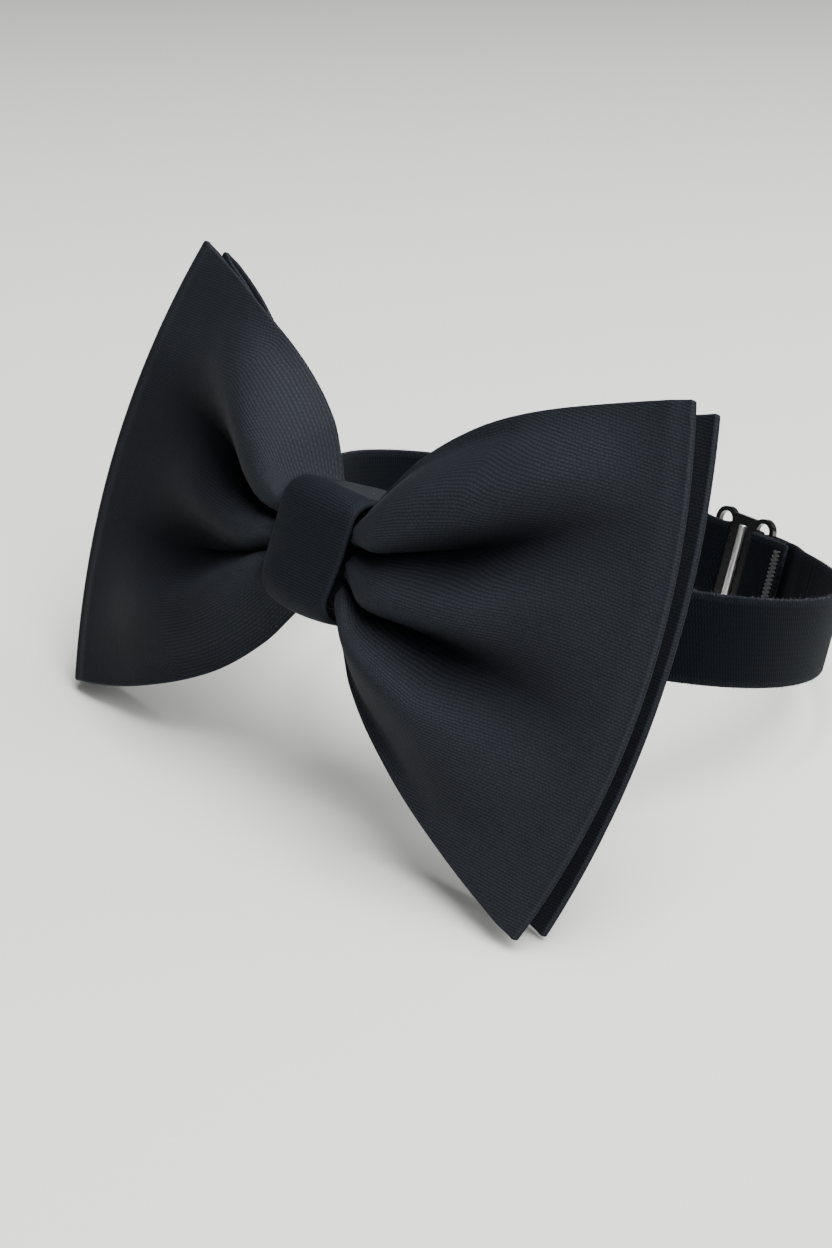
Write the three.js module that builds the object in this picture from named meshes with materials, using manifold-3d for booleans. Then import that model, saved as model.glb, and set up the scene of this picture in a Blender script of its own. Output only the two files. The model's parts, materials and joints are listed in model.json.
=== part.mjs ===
// A pre-tied bow tie standing on a table: two folded cloth loops gathered by a knot,
// on an elastic neckband with a slide adjuster and a hook-and-eye closure.
// Millimetres, +Z up. The bow faces -Y, its wings reach along X, and the neckband runs back along +Y.
import * as THREE from "three";
import { mergeVertices } from "three/addons/utils/BufferGeometryUtils.js";
import Module from "manifold-3d";

const wasm = await Module();
wasm.setup();

// ---------------------------------------------------------------- driving dimensions
const GAP = 0.3; // clearance kept between pieces that touch
const BOW_LEAN = THREE.MathUtils.degToRad(23.4); // the bow's lean back from upright

// bow loops
const WING_TIP_X = 56; // centre line to a wing's corner
const WING_BELLY = 7.6; // how far the outer edge bows out beyond its corners
const WING_HEIGHT = 80; // upper corner to lower corner of the front loop
const BACK_LOOP_HEIGHT = 78.2;
const BACK_LOOP_TIP_X = 56.6;
const CLOTH = 0.7; // one pressed ply of the folded cloth strip
const INTERLINING = 0.5;
const INTERLINING_SHARE = 0.985; // the sheet's size as a share of the loop's
const PUFF = 5.6; // how far the front pleats stand forward of their valleys
const BACK_LOOP_SETBACK = 5.3; // back loop's outer edge behind the front loop's
const EDGE_DEPTH = 4.4; // front loop's outer edge behind the bow's reference plane
const WAIST_DEPTH = 4.6; // each loop's thickness where it is gathered

// knot
const KNOT_WIDTH = 16.4;
const KNOT_ROOM = 3.2; // the knot's inside beyond the strap's width, both edges together
const KNOT_RAISE = 0.6; // knot's middle above the middle of the wings
const KNOT_TAPER = 0.88; // width at the bottom edge as a share of the width at the top
const KNOT_FRONT_CORNER = 4;
const KNOT_BACK_CORNER = 1.7;
const KNOT_CLOTH = 1.2; // the wrap is a folded strip, so it is thicker
const THREAD = 0.7; // diameter of the gathering thread
const THREAD_TURNS = 3;
const THREAD_SLACK = 0.6; // the winding stands off the bundle's top and bottom
const SEAM_THREAD = 0.5;
const SEAM_STITCHES = 7;
const SEAM_SHARE = 0.8; // the seam's width as a share of the knot's narrow end
const SEAM_LEVEL = -4.1; // the stitches' middle, below the knot's middle
const SEAM_SWING = 0.7; // how far a stitch goes to each side of that
const SEAM_MARGIN = 1.2; // plain cloth kept clear above the stitches

// neckband
const BAND_RADIUS = 45.6;
const BAND_RAISE = 1.6; // strap's middle above the middle of the wings where it leaves the knot
const STRAP_LEAN = THREE.MathUtils.degToRad(9); // most that the strap leans inside the knot
const STRAP_WIDTH = 15;
const STRAP = 0.8; // thickness of the woven elastic
const FOLD = STRAP / 2 + 0.45; // bend radius of a folded strap's middle
const TWIST_RUN = 20; // from the knot's middle to where the strap has twisted free of the bow
const STRETCH_RUN = 22; // from the adjuster's middle to the hook strap's plain run
const TAIL = 8; // strap sewn back on itself past a fold
const TACK_LENGTH = 2.2;
const TACK_HEIGHT = 0.4;
const TACK_STANDOFF = 0.15;
const TACK_SHARE = 0.8; // a tack's length as a share of the strap's width
const TACK_INSET = 2; // a tack's middle from the strap's end

// slide adjuster
const SLIDER_PITCH = 9; // slot centre to slot centre
const SLOT_WIDTH = 2 * STRAP + 3 * GAP + 0.5; // takes two straps' thicknesses with room to pass
const SLIDER_RIM = 0.9; // metal left around a slot
const SLIDER_PLATE = 1.2;
const BAR_WIDTH = 1.6;
const BAR_RISE = 0.9;
const BAR_SEAT = 0.1; // bar's clearance from the plate
const STOP_TAIL = 13; // strap end past the adjuster's middle
const TRAVEL_RUN = 38; // from the adjuster's middle to the far end of the strap it slides on

// hook and eye
const WIRE = 1.2; // wire diameter of the eye
const EYE_AT = 17.2; // along the band from the knot's middle to the eye's hinge wire
const EYE_LENGTH = 8;
const EYE_CORNER = 1.6; // radius of the wire's corners
const EYE_ROOM = 0.3; // the eye's inside beyond the strap's edge and its clearance
const EYE_TAIL = 5; // short strap past the eye's hinge wire
const HOOK_AT = 36; // along the band from the knot's middle to the hook's hinge bar
const HOOK_PLATE = 0.8;
const HOOK_TONGUE = 8; // width of the hook's tongue
const HOOK_SLOT = 2.6; // slot between hinge bar and plate
const HOOK_LEG = 2.7; // length of the turned-down tip
const HOOK_PLAY = 0.7; // tip to eye wire
const HOOK_CORNER = 2;
const HOOK_RIM = 1.4; // plate left beside and beyond the slot

// ---------------------------------------------------------------- derived sizes
const HALF_CLOTH = CLOTH / 2;
const LOOP_FOLD = (INTERLINING + 2 * GAP + CLOTH) / 2; // radius of a wing's outer fold
const HALF_STRAP = STRAP / 2;
const HALF_WIDTH = STRAP_WIDTH / 2;
const KNOT_HEIGHT = STRAP_WIDTH + KNOT_ROOM + 2 * KNOT_CLOTH;
const INNER_KNOT = KNOT_HEIGHT / 2 - KNOT_CLOTH;
const WAIST_HALF_HEIGHT = INNER_KNOT - KNOT_RAISE - THREAD - 2 * GAP - THREAD_SLACK;
const FRONT_LOOP_WAIST = 1.3; // middle of the front loop's bundle in the knot
const BACK_LOOP_WAIST = FRONT_LOOP_WAIST + WAIST_DEPTH + CLOTH + GAP;
const BUNDLE_FRONT = FRONT_LOOP_WAIST - (WAIST_DEPTH + CLOTH) / 2;
const BUNDLE_BACK = BACK_LOOP_WAIST + (WAIST_DEPTH + CLOTH) / 2;
const WINDING_REACH = GAP + THREAD_SLACK / 2 + THREAD; // depth taken by the winding on each side
const KNOT_FRONT = BUNDLE_FRONT - WINDING_REACH - GAP - KNOT_CLOTH;
const STRAP_ROOM = HALF_STRAP + HALF_WIDTH * Math.sin(STRAP_LEAN); // depth that the leaning strap takes
const BAND_FRONT = BUNDLE_BACK + WINDING_REACH + GAP + STRAP_ROOM; // strap's middle in the knot
const BAND_SAG = KNOT_WIDTH ** 2 / (8 * BAND_RADIUS); // how far the strap curves back across the knot
const SEAM_TOP = SEAM_LEVEL + SEAM_SWING + SEAM_THREAD / 2 + SEAM_MARGIN;
const KNOT_BACK = BAND_FRONT + BAND_SAG + STRAP_ROOM + GAP + KNOT_CLOTH;
const SLOT_HALF_LENGTH = HALF_WIDTH + GAP; // the straight part of a slot
const SLIDER_HALF_HEIGHT = SLOT_HALF_LENGTH + SLOT_WIDTH / 2 + SLIDER_RIM;
const REAR = Math.PI * BAND_RADIUS; // half way round the band
const STRAIGHT_RUN = SLIDER_PITCH; // half the straight run beside the adjuster

// ---------------------------------------------------------------- colours
const cloth = (color) => ({ color, roughness: 0.75, metalness: 0 });
const metal = (color, roughness) => ({ color, roughness, metalness: 1 });
const NAVY_CLOTH = cloth(0x161b24);
const LINING = cloth(0x3e3f42);
const ELASTIC = cloth(0x10141b);
const BLACK_THREAD = cloth(0x0c0e12);
const GREY_THREAD = cloth(0x3a3f48);
const BLACK_METAL = metal(0x141416, 0.35);
const SILVER_METAL = metal(0xb9bab6, 0.3);

const lerp = THREE.MathUtils.lerp;
const smooth = THREE.MathUtils.smoothstep;

// ---------------------------------------------------------------- mesh helpers
const add = (group, name, geometry, finish) => {
  const mesh = new THREE.Mesh(geometry, new THREE.MeshStandardMaterial(finish));
  mesh.name = name;
  group.add(mesh);
  return mesh;
};

// Six times the volume enclosed by indexed triangles, negative when they face inwards.
const signedVolume = (points, index) => {
  let sum = 0;
  for (let i = 0; i < index.length; i += 3) {
    const [a, b, c] = [points[index[i]], points[index[i + 1]], points[index[i + 2]]];
    sum += a.dot(new THREE.Vector3().crossVectors(b, c));
  }
  return sum;
};

const closedGeometry = (points, index) => {
  if (signedVolume(points, index) < 0) index.reverse();
  const geometry = new THREE.BufferGeometry().setFromPoints(points);
  geometry.setIndex(index);
  geometry.computeVertexNormals();
  return geometry;
};

// A surface that closes on itself both ways, such as a ring or a hollow band.
const ringSolid = (around, across, pointAt) => {
  const points = [];
  const index = [];
  for (let i = 0; i < around; i++)
    for (let j = 0; j < across; j++) {
      points.push(pointAt(i, j));
      const [a, b] = [i * across, ((i + 1) % around) * across];
      const k = (j + 1) % across;
      index.push(a + j, b + j, b + k, a + j, b + k, a + k);
    }
  return closedGeometry(points, index);
};

// A sheet with a front face, a back face and four edges.
const sheetSolid = (columns, rows, faceAt) => {
  const points = [];
  const index = [];
  const at = (face, i, j) => (face * (columns + 1) + i) * (rows + 1) + j;
  const quad = (a, b, c, d) => index.push(a, b, c, a, c, d);
  for (const face of [0, 1])
    for (let i = 0; i <= columns; i++)
      for (let j = 0; j <= rows; j++) points.push(faceAt(face, i / columns, j / rows));
  for (let i = 0; i < columns; i++)
    for (let j = 0; j < rows; j++) {
      quad(at(0, i, j), at(0, i + 1, j), at(0, i + 1, j + 1), at(0, i, j + 1));
      quad(at(1, i, j), at(1, i, j + 1), at(1, i + 1, j + 1), at(1, i + 1, j));
    }
  for (let i = 0; i < columns; i++) {
    quad(at(0, i, 0), at(1, i, 0), at(1, i + 1, 0), at(0, i + 1, 0));
    quad(at(0, i, rows), at(0, i + 1, rows), at(1, i + 1, rows), at(1, i, rows));
  }
  for (let j = 0; j < rows; j++) {
    quad(at(0, 0, j), at(0, 0, j + 1), at(1, 0, j + 1), at(1, 0, j));
    quad(at(0, columns, j), at(1, columns, j), at(1, columns, j + 1), at(0, columns, j + 1));
  }
  return closedGeometry(points, index);
};

// A flat outline pulled out evenly to both sides of its plane.
const plate = (shape, thickness, curveSegments = 8) =>
  new THREE.ExtrudeGeometry(shape, { depth: thickness, bevelEnabled: false, curveSegments })
    .translate(0, 0, -thickness / 2);

const toManifold = (geometry) => {
  const bare = geometry.clone();
  bare.deleteAttribute("normal");
  bare.deleteAttribute("uv");
  const merged = mergeVertices(bare, 1e-4);
  return new wasm.Manifold(
    new wasm.Mesh({
      numProp: 3,
      vertProperties: merged.attributes.position.array,
      triVerts: new Uint32Array(merged.index.array),
    }),
  );
};

const join = (...geometries) => {
  const mesh = geometries.map(toManifold).reduce((a, b) => a.add(b)).getMesh();
  const geometry = new THREE.BufferGeometry();
  geometry.setAttribute("position", new THREE.BufferAttribute(mesh.vertProperties, 3));
  geometry.setIndex(new THREE.BufferAttribute(mesh.triVerts, 1));
  geometry.computeVertexNormals();
  return geometry;
};

// ---------------------------------------------------------------- bow loops
// How far a wing's half height has grown from the waist's (0) to the corner's (1), by its reach out.
const WAIST_END = (KNOT_WIDTH / 2 + GAP) / WING_TIP_X;
const flare = new THREE.SplineCurve([
  new THREE.Vector2(WAIST_END, 0),
  new THREE.Vector2(0.19, 0.17),
  new THREE.Vector2(0.26, 0.34),
  new THREE.Vector2(0.4, 0.55),
  new THREE.Vector2(0.58, 0.74),
  new THREE.Vector2(0.79, 0.88),
  new THREE.Vector2(1, 1),
]);
const flarePoints = flare.getPoints(60);

const flareAt = (reach) => {
  if (reach <= WAIST_END) return 0;
  const next = flarePoints.findIndex((p) => p.x >= reach);
  if (next < 0) return 1;
  const [p, q] = [flarePoints[next - 1], flarePoints[next]];
  return lerp(p.y, q.y, (reach - p.x) / (q.x - p.x));
};

// Sizes and depths of each loop. Depths are along the bow's own back direction.
const FRONT_LOOP = {
  halfHeight: WING_HEIGHT / 2,
  tipX: WING_TIP_X,
  edgeDepth: EDGE_DEPTH,
  waistMiddle: FRONT_LOOP_WAIST,
  puff: PUFF,
};
const BACK_LOOP = {
  halfHeight: BACK_LOOP_HEIGHT / 2,
  tipX: BACK_LOOP_TIP_X,
  edgeDepth: EDGE_DEPTH + BACK_LOOP_SETBACK,
  waistMiddle: BACK_LOOP_WAIST,
  puff: 0,
};

// Three pleats lie between two valleys that run out from the knot.
const pleat = (level, reach) => {
  const upper = 0.3 + 0.1 * reach;
  const lower = -0.32 + 0.06 * reach;
  const bounds = [-1, lower, upper, 1];
  const k = level < lower ? 0 : level < upper ? 1 : 2;
  const share = (level - bounds[k]) / (bounds[k + 1] - bounds[k]);
  return Math.max(Math.sin(Math.PI * share), 0) ** 0.7;
};

// A point of a loop's front (-1) or rear (+1) ply: reach runs -1..1 across the wings, level -1..1 up them.
const plyPoint = (loop, side, reach, level, offset) => {
  const out = Math.abs(reach);
  const edge = loop.tipX - LOOP_FOLD + WING_BELLY * (1 - level * level);
  const height = lerp(WAIST_HALF_HEIGHT, loop.halfHeight, flareAt(out));
  const open = lerp(WAIST_DEPTH / 2, LOOP_FOLD, smooth(out, 0.16, 0.9));
  const middle = lerp(loop.waistMiddle, loop.edgeDepth, smooth(out, 0.1, 1));
  const stands = smooth(out, 0.13, 0.3) * (1 - smooth(out, 0.35, 0.92));
  const forward = side < 0 ? loop.puff * stands * pleat(level, out) : 0;
  const depth = middle + side * (open + offset) - forward;
  return new THREE.Vector3(reach * edge, depth, level * height);
};

// The outer fold joins the plies by half a turn about the wing's edge.
const foldPoint = (loop, hand, turn, level, offset) => {
  const p = plyPoint(loop, 0, hand, level, 0);
  const radius = LOOP_FOLD + offset;
  p.x += hand * radius * Math.sin(turn);
  p.y -= radius * Math.cos(turn);
  return p;
};

// Places across the wings, closer together near the knot, with one at each end of the gathered waist.
const reaches = (perWing) => {
  const wing = Array.from({ length: perWing + 1 }, (_, i) => lerp(WAIST_END, 1, (i / perWing) ** 1.4));
  return [...wing.map((r) => -r).reverse(), 0, ...wing];
};

const loopSolid = (loop, perWing, rows, foldSteps) => {
  const across = 2 * (rows + 1);
  const places = reaches(perWing);
  const stations = places.map((reach) => ["ply", -1, reach]);
  for (let i = 1; i < foldSteps; i++) stations.push(["fold", 1, (Math.PI * i) / foldSteps]);
  for (const reach of places) stations.push(["ply", 1, -reach]);
  for (let i = 1; i < foldSteps; i++) stations.push(["fold", -1, Math.PI * (1 - i / foldSteps)]);
  return ringSolid(stations.length, across, (i, j) => {
    const outer = j <= rows;
    const level = outer ? -1 + (2 * j) / rows : 1 - (2 * (j - rows - 1)) / rows;
    const offset = outer ? HALF_CLOTH : -HALF_CLOTH;
    const [kind, side, along] = stations[i];
    if (kind === "ply") return plyPoint(loop, side, along, level, offset);
    return foldPoint(loop, side, along, level, offset);
  });
};

// The interlining is one stiff sheet between a loop's two plies, short of its folds and hems.
const interliningSolid = (loop, perWing, rows) => {
  const places = reaches(perWing);
  return sheetSolid(places.length - 1, rows, (face, i, j) => {
    const reach = INTERLINING_SHARE * places[Math.round(i * (places.length - 1))];
    const level = INTERLINING_SHARE * (-1 + 2 * j);
    const front = plyPoint(loop, -1, reach, level, -HALF_CLOTH);
    const rear = plyPoint(loop, 1, reach, level, -HALF_CLOTH);
    front.y = (front.y + rear.y) / 2 + (face ? 1 : -1) * (INTERLINING / 2);
    return front;
  });
};

// ---------------------------------------------------------------- knot
// The wrap's path round the bow: a box with round corners, and a flat back that lies on the collar.
const knotOutline = (steps, inset) => {
  const [front, back] = [KNOT_FRONT + inset, KNOT_BACK - inset];
  const half = KNOT_HEIGHT / 2 - inset;
  const nose = KNOT_FRONT_CORNER - inset;
  const heel = KNOT_BACK_CORNER - inset;
  const corners = [
    [back - heel, half - heel, heel],
    [front + nose, half - nose, nose],
    [front + nose, nose - half, nose],
    [back - heel, heel - half, heel],
  ];
  const path = corners.flatMap(([x, y, radius], corner) =>
    Array.from({ length: steps + 1 }, (_, i) => {
      const a = ((corner + i / steps) * Math.PI) / 2;
      return new THREE.Vector2(x + radius * Math.cos(a), y + radius * Math.sin(a));
    }),
  );
  // The back is one face below this line, under the seam, and one above it, which rests on the collar.
  path.push(new THREE.Vector2(back, SEAM_TOP - KNOT_RAISE));
  return path;
};

const knotWrap = () => {
  const outside = knotOutline(6, 0);
  const inside = knotOutline(6, KNOT_CLOTH);
  return ringSolid(outside.length, 4, (i, j) => {
    const p = (j < 2 ? outside : inside)[i];
    const share = j % 3 ? 1 : -1;
    const rise = (outside[i].y + KNOT_HEIGHT / 2) / KNOT_HEIGHT;
    const half = (KNOT_WIDTH * lerp(KNOT_TAPER, 1, rise)) / 2;
    return new THREE.Vector3(share * half, p.x, p.y + KNOT_RAISE);
  });
};

// Thread wound round the gathered waist of both loops.
class WaistWinding extends THREE.Curve {
  getPoint(t, target = new THREE.Vector3()) {
    const turn = t * THREAD_TURNS * 2 * Math.PI;
    const reach = THREAD / 2 + GAP;
    const half = (BUNDLE_BACK - BUNDLE_FRONT) / 2 + reach + THREAD_SLACK / 2;
    const tall = WAIST_HALF_HEIGHT + reach + THREAD_SLACK;
    const squareness = 10;
    const grow = (value) => Math.sign(value) * Math.pow(Math.abs(value), 2 / squareness);
    const middle = (BUNDLE_BACK + BUNDLE_FRONT) / 2;
    const pitch = THREAD + GAP;
    return target.set(
      pitch * THREAD_TURNS * (t - 0.5),
      middle + half * grow(Math.cos(turn)),
      tall * grow(Math.sin(turn)),
    );
  }
}

const roundSection = (diameter, sides) => {
  const shape = new THREE.Shape();
  for (let i = 0; i < sides; i++) {
    const a = (2 * Math.PI * i) / sides;
    const [x, y] = [(diameter / 2) * Math.cos(a), (diameter / 2) * Math.sin(a)];
    if (i) shape.lineTo(x, y);
    else shape.moveTo(x, y);
  }
  shape.closePath();
  return shape;
};

const tube = (curve, diameter, steps, sides = 6) =>
  new THREE.ExtrudeGeometry(roundSection(diameter, sides), { steps, extrudePath: curve });

// Slip stitches that close the wrap's end on the knot's back, as one thread to and fro.
const knotSeam = () => {
  const width = KNOT_WIDTH * KNOT_TAPER * SEAM_SHARE;
  const points = [];
  for (let i = 0; i <= 2 * SEAM_STITCHES; i++) {
    const x = width * (i / (2 * SEAM_STITCHES) - 0.5);
    const z = SEAM_LEVEL + (i % 2 ? SEAM_SWING : -SEAM_SWING);
    points.push(new THREE.Vector3(x, KNOT_BACK + GAP + SEAM_THREAD / 2, z));
  }
  const path = new THREE.CatmullRomCurve3(points, false, "centripetal");
  return tube(path, SEAM_THREAD, 4 * SEAM_STITCHES);
};

// ---------------------------------------------------------------- neckband
// The band runs straight past the flat slide adjuster, which lifts it off its circle there.
const straightenedBy = (along) => {
  const past = Math.abs(along - REAR);
  return (past ** 2 / (2 * BAND_RADIUS)) * (1 - smooth(past, STRAIGHT_RUN, 2 * STRAIGHT_RUN));
};

// A place on the band: along its circle from the knot's middle, and out from its middle line.
const onBand = (along, out) => {
  const turn = along / BAND_RADIUS;
  const r = BAND_RADIUS + out + straightenedBy(along);
  return new THREE.Vector2(r * Math.sin(turn), BAND_RADIUS - r * Math.cos(turn));
};

const arcPoints = (along, out, radius, from, to, steps = 5) =>
  Array.from({ length: steps + 1 }, (_, i) => {
    const a = lerp(from, to, i / steps);
    return [along + radius * Math.cos(a), out + radius * Math.sin(a)];
  });

const runPoints = (from, to, outFrom, outTo, step = 4) => {
  const count = Math.max(1, Math.round(Math.abs(to - from) / step));
  return Array.from({ length: count + 1 }, (_, i) => {
    const t = i / count;
    return [lerp(from, to, t), lerp(outFrom, outTo, smooth(t, 0, 1))];
  });
};

// A strap is its edge-on outline, half its thickness to each side of a path, pulled out to its width.
const strapSolid = (path, thickness = STRAP, width = STRAP_WIDTH) => {
  const middle = path
    .filter((p, i) => !i || Math.hypot(p[0] - path[i - 1][0], p[1] - path[i - 1][1]) > 1e-4)
    .map(([along, out]) => onBand(along, out));
  const sides = [[], []];
  middle.forEach((p, i) => {
    const before = middle[Math.max(i - 1, 0)];
    const after = middle[Math.min(i + 1, middle.length - 1)];
    const normal = after.clone().sub(before).normalize().rotateAround(new THREE.Vector2(), Math.PI / 2);
    sides[0].push(p.clone().addScaledVector(normal, thickness / 2));
    sides[1].unshift(p.clone().addScaledVector(normal, -thickness / 2));
  });
  return plate(new THREE.Shape([...sides[0], ...sides[1]]), width);
};

const LAYER = (STRAP + GAP) / 2; // each of two layers lies this far from the band's middle line
const OVER_PLATE = SLIDER_PLATE / 2 + GAP + HALF_STRAP; // strap's middle as it crosses the adjuster
const SLOT_MIDDLE = SLIDER_PITCH / 2;
const WEB_EDGE = SLOT_MIDDLE - SLOT_WIDTH / 2; // half the metal between the slots
const RIM_EDGE = SLOT_MIDDLE + SLOT_WIDTH / 2; // inside of an outer bar
const CROSSING = WEB_EDGE + GAP + HALF_STRAP; // where the strap goes through a slot
const TURN_END = RIM_EDGE - GAP - HALF_STRAP; // where the hook strap goes through its slot
const OVER_FOLD = OVER_PLATE + STRAP + GAP; // strap's middle as it crosses that fold
const OVER_WIRE = WIRE / 2 + GAP + HALF_STRAP; // strap's middle round a hinge wire
const EASE = 5; // run over which a strap settles to the band's middle line
const TACK_RUN = 4; // flat run under a bar tack

// The strap lies through the knot and comes out on -X, where it twists as the band tilts.
const knotStrapPath = () => runPoints(-TWIST_RUN + GAP / 2, KNOT_WIDTH / 2 - 1, 0, 0, 4);

// From there the long strap runs round -X towards the rear.
const longStrapPath = () =>
  runPoints(2 * REAR - TWIST_RUN - GAP / 2, REAR + TRAVEL_RUN + GAP / 2, 0, 0, 5);

// Its end weaves through the adjuster, which slides along it, and finishes in a sewn stop.
const wovenEndPath = () => {
  const rise = REAR + RIM_EDGE + SLIDER_RIM;
  return [
    ...runPoints(REAR + TRAVEL_RUN - GAP / 2, rise + EASE, 0, 0, 5),
    ...runPoints(rise + EASE - 1, rise, 0, -OVER_PLATE, 1.2),
    ...runPoints(rise - 1, REAR + CROSSING + FOLD, -OVER_PLATE, -OVER_PLATE, 2),
    ...arcPoints(REAR + CROSSING + FOLD, FOLD - OVER_PLATE, FOLD, -Math.PI / 2, -Math.PI),
    ...arcPoints(REAR + CROSSING - FOLD, OVER_PLATE - FOLD, FOLD, 0, Math.PI / 2),
    ...runPoints(REAR + CROSSING - FOLD, REAR - CROSSING + FOLD, OVER_PLATE, OVER_PLATE, 2),
    ...arcPoints(REAR - CROSSING + FOLD, OVER_PLATE - FOLD, FOLD, Math.PI / 2, Math.PI),
    ...arcPoints(REAR - CROSSING - FOLD, FOLD - OVER_FOLD, FOLD, 0, -Math.PI / 2),
    ...runPoints(REAR - CROSSING - FOLD - 1, REAR - STOP_TAIL, -OVER_FOLD, -OVER_FOLD, 2),
  ];
};

// The hook strap's rear end is sewn round the adjuster's outer bar and moves with it.
const sewnEndPath = () => {
  const bar = REAR - TURN_END - FOLD;
  const tail = bar - TAIL / 2;
  return [
    ...runPoints(tail, bar, -LAYER, -OVER_PLATE, 1.2),
    ...arcPoints(bar, FOLD - OVER_PLATE, FOLD, -Math.PI / 2, 0),
    ...arcPoints(bar, OVER_PLATE - FOLD, FOLD, 0, Math.PI / 2),
    ...runPoints(bar - 1, tail, OVER_PLATE, LAYER, 1.2),
    ...runPoints(tail - 1, tail - EASE, LAYER, 0, 2),
    ...runPoints(tail - EASE - 1, REAR - STRETCH_RUN + GAP / 2, 0, 0, 3),
  ];
};

// Half a turn round a hinge wire, from the band's outside to its inside; hand is the fold's direction.
const foldRound = (along, hand) =>
  arcPoints(along, 0, OVER_WIRE, Math.PI / 2, Math.PI / 2 - hand * Math.PI, 8);

// Its front end is sewn round the hook's hinge bar.
const hookStrapPath = () => [
  ...runPoints(REAR - STRETCH_RUN - GAP / 2, HOOK_AT + TAIL + EASE + 1, 0, 0, 5),
  ...runPoints(HOOK_AT + TAIL + EASE, HOOK_AT + TAIL, 0, OVER_WIRE, 2),
  ...foldRound(HOOK_AT, -1),
  ...runPoints(HOOK_AT + 1, HOOK_AT + TAIL - TACK_RUN, -OVER_WIRE, -HALF_STRAP, 1.2),
  ...runPoints(HOOK_AT + TAIL - TACK_RUN + 1, HOOK_AT + TAIL, -HALF_STRAP, -HALF_STRAP, 2),
];

// The short strap leaves the knot on +X and is sewn round the eye's hinge wire.
const eyeStrapPath = () => [
  ...runPoints(KNOT_WIDTH / 2 + 1, EYE_AT - HALF_STRAP, 0, OVER_WIRE, 1.5),
  ...foldRound(EYE_AT, 1),
  ...runPoints(EYE_AT - 1, EYE_AT - EYE_TAIL, -OVER_WIRE, -OVER_WIRE, 1.5),
];

// A bar tack is a close zigzag of thread across a strap, on the strap's inner face.
const barTack = (along, surface) => {
  const inner = surface - HALF_STRAP - TACK_STANDOFF - TACK_HEIGHT / 2;
  return strapSolid(
    runPoints(along - TACK_LENGTH / 2, along + TACK_LENGTH / 2, inner, inner, 1),
    TACK_HEIGHT,
    STRAP_WIDTH * TACK_SHARE,
  );
};

// ---------------------------------------------------------------- slide adjuster
// Outline of two round-ended rims side by side with a waist between them.
const sliderFrame = () => {
  const rim = SLOT_WIDTH / 2 + SLIDER_RIM;
  const [top, bottom] = [SLOT_HALF_LENGTH, -SLOT_HALF_LENGTH];
  const shape = new THREE.Shape();
  shape.moveTo(SLOT_MIDDLE + rim, bottom);
  shape.lineTo(SLOT_MIDDLE + rim, top);
  shape.absarc(SLOT_MIDDLE, top, rim, 0, Math.PI * 0.75);
  shape.absarc(-SLOT_MIDDLE, top, rim, Math.PI * 0.25, Math.PI);
  shape.lineTo(-SLOT_MIDDLE - rim, bottom);
  shape.absarc(-SLOT_MIDDLE, bottom, rim, Math.PI, Math.PI * 1.75);
  shape.absarc(SLOT_MIDDLE, bottom, rim, Math.PI * 1.25, Math.PI * 2);
  for (const hand of [-1, 1]) {
    const slot = new THREE.Path();
    slot.moveTo(hand * SLOT_MIDDLE + SLOT_WIDTH / 2, bottom);
    slot.lineTo(hand * SLOT_MIDDLE + SLOT_WIDTH / 2, top);
    slot.absarc(hand * SLOT_MIDDLE, top, SLOT_WIDTH / 2, 0, Math.PI);
    slot.lineTo(hand * SLOT_MIDDLE - SLOT_WIDTH / 2, bottom);
    slot.absarc(hand * SLOT_MIDDLE, bottom, SLOT_WIDTH / 2, Math.PI, Math.PI * 2);
    shape.holes.push(slot);
  }
  return plate(shape, SLIDER_PLATE).rotateX(Math.PI / 2);
};

// The bright bar stands along the middle of the adjuster's inner face.
const sliderBar = () => {
  const shape = new THREE.Shape();
  shape.moveTo(-BAR_WIDTH / 2, 0);
  shape.lineTo(BAR_WIDTH / 2, 0);
  shape.absellipse(0, 0, BAR_WIDTH / 2, BAR_RISE, 0, Math.PI);
  return plate(shape, 2 * SLOT_HALF_LENGTH).translate(0, SLIDER_PLATE / 2 + BAR_SEAT, 0);
};

// ---------------------------------------------------------------- hook and eye
// A closed wire loop: a rectangle with round corners, hinge wire at the origin, reaching along +X.
const eyeRing = () => {
  const radius = EYE_CORNER;
  const half = HALF_WIDTH + GAP + EYE_ROOM + WIRE / 2;
  const shape = new THREE.Shape();
  shape.moveTo(0, 0);
  shape.lineTo(0, radius - half);
  shape.absarc(radius, radius - half, radius, Math.PI, Math.PI * 1.5);
  shape.lineTo(EYE_LENGTH - radius, -half);
  shape.absarc(EYE_LENGTH - radius, radius - half, radius, -Math.PI / 2, 0);
  shape.lineTo(EYE_LENGTH, half - radius);
  shape.absarc(EYE_LENGTH - radius, half - radius, radius, 0, Math.PI / 2);
  shape.lineTo(radius, half);
  shape.absarc(radius, half - radius, radius, Math.PI / 2, Math.PI);
  const path = shape.getPoints(4);
  path.pop();
  const sides = 8;
  return ringSolid(path.length, sides, (i, j) => {
    const before = path[(i + path.length - 1) % path.length];
    const after = path[(i + 1) % path.length];
    const out = after.clone().sub(before).normalize().rotateAround(new THREE.Vector2(), -Math.PI / 2);
    const a = (2 * Math.PI * j) / sides;
    const r = (WIRE / 2) * Math.cos(a);
    return new THREE.Vector3(path[i].x + out.x * r, (WIRE / 2) * Math.sin(a), path[i].y + out.y * r);
  });
};

// Where the eye's far wire lies, seen from the hook's hinge: how far back along the band, and how far in.
const eyeWireFromHook = () => {
  const turn = (HOOK_AT - EYE_AT) / BAND_RADIUS;
  const wire = onBand(EYE_AT - HOOK_AT, 0);
  wire.add(new THREE.Vector2(EYE_LENGTH, 0).rotateAround(new THREE.Vector2(), -turn));
  return new THREE.Vector2(-wire.x, wire.y);
};

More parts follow.
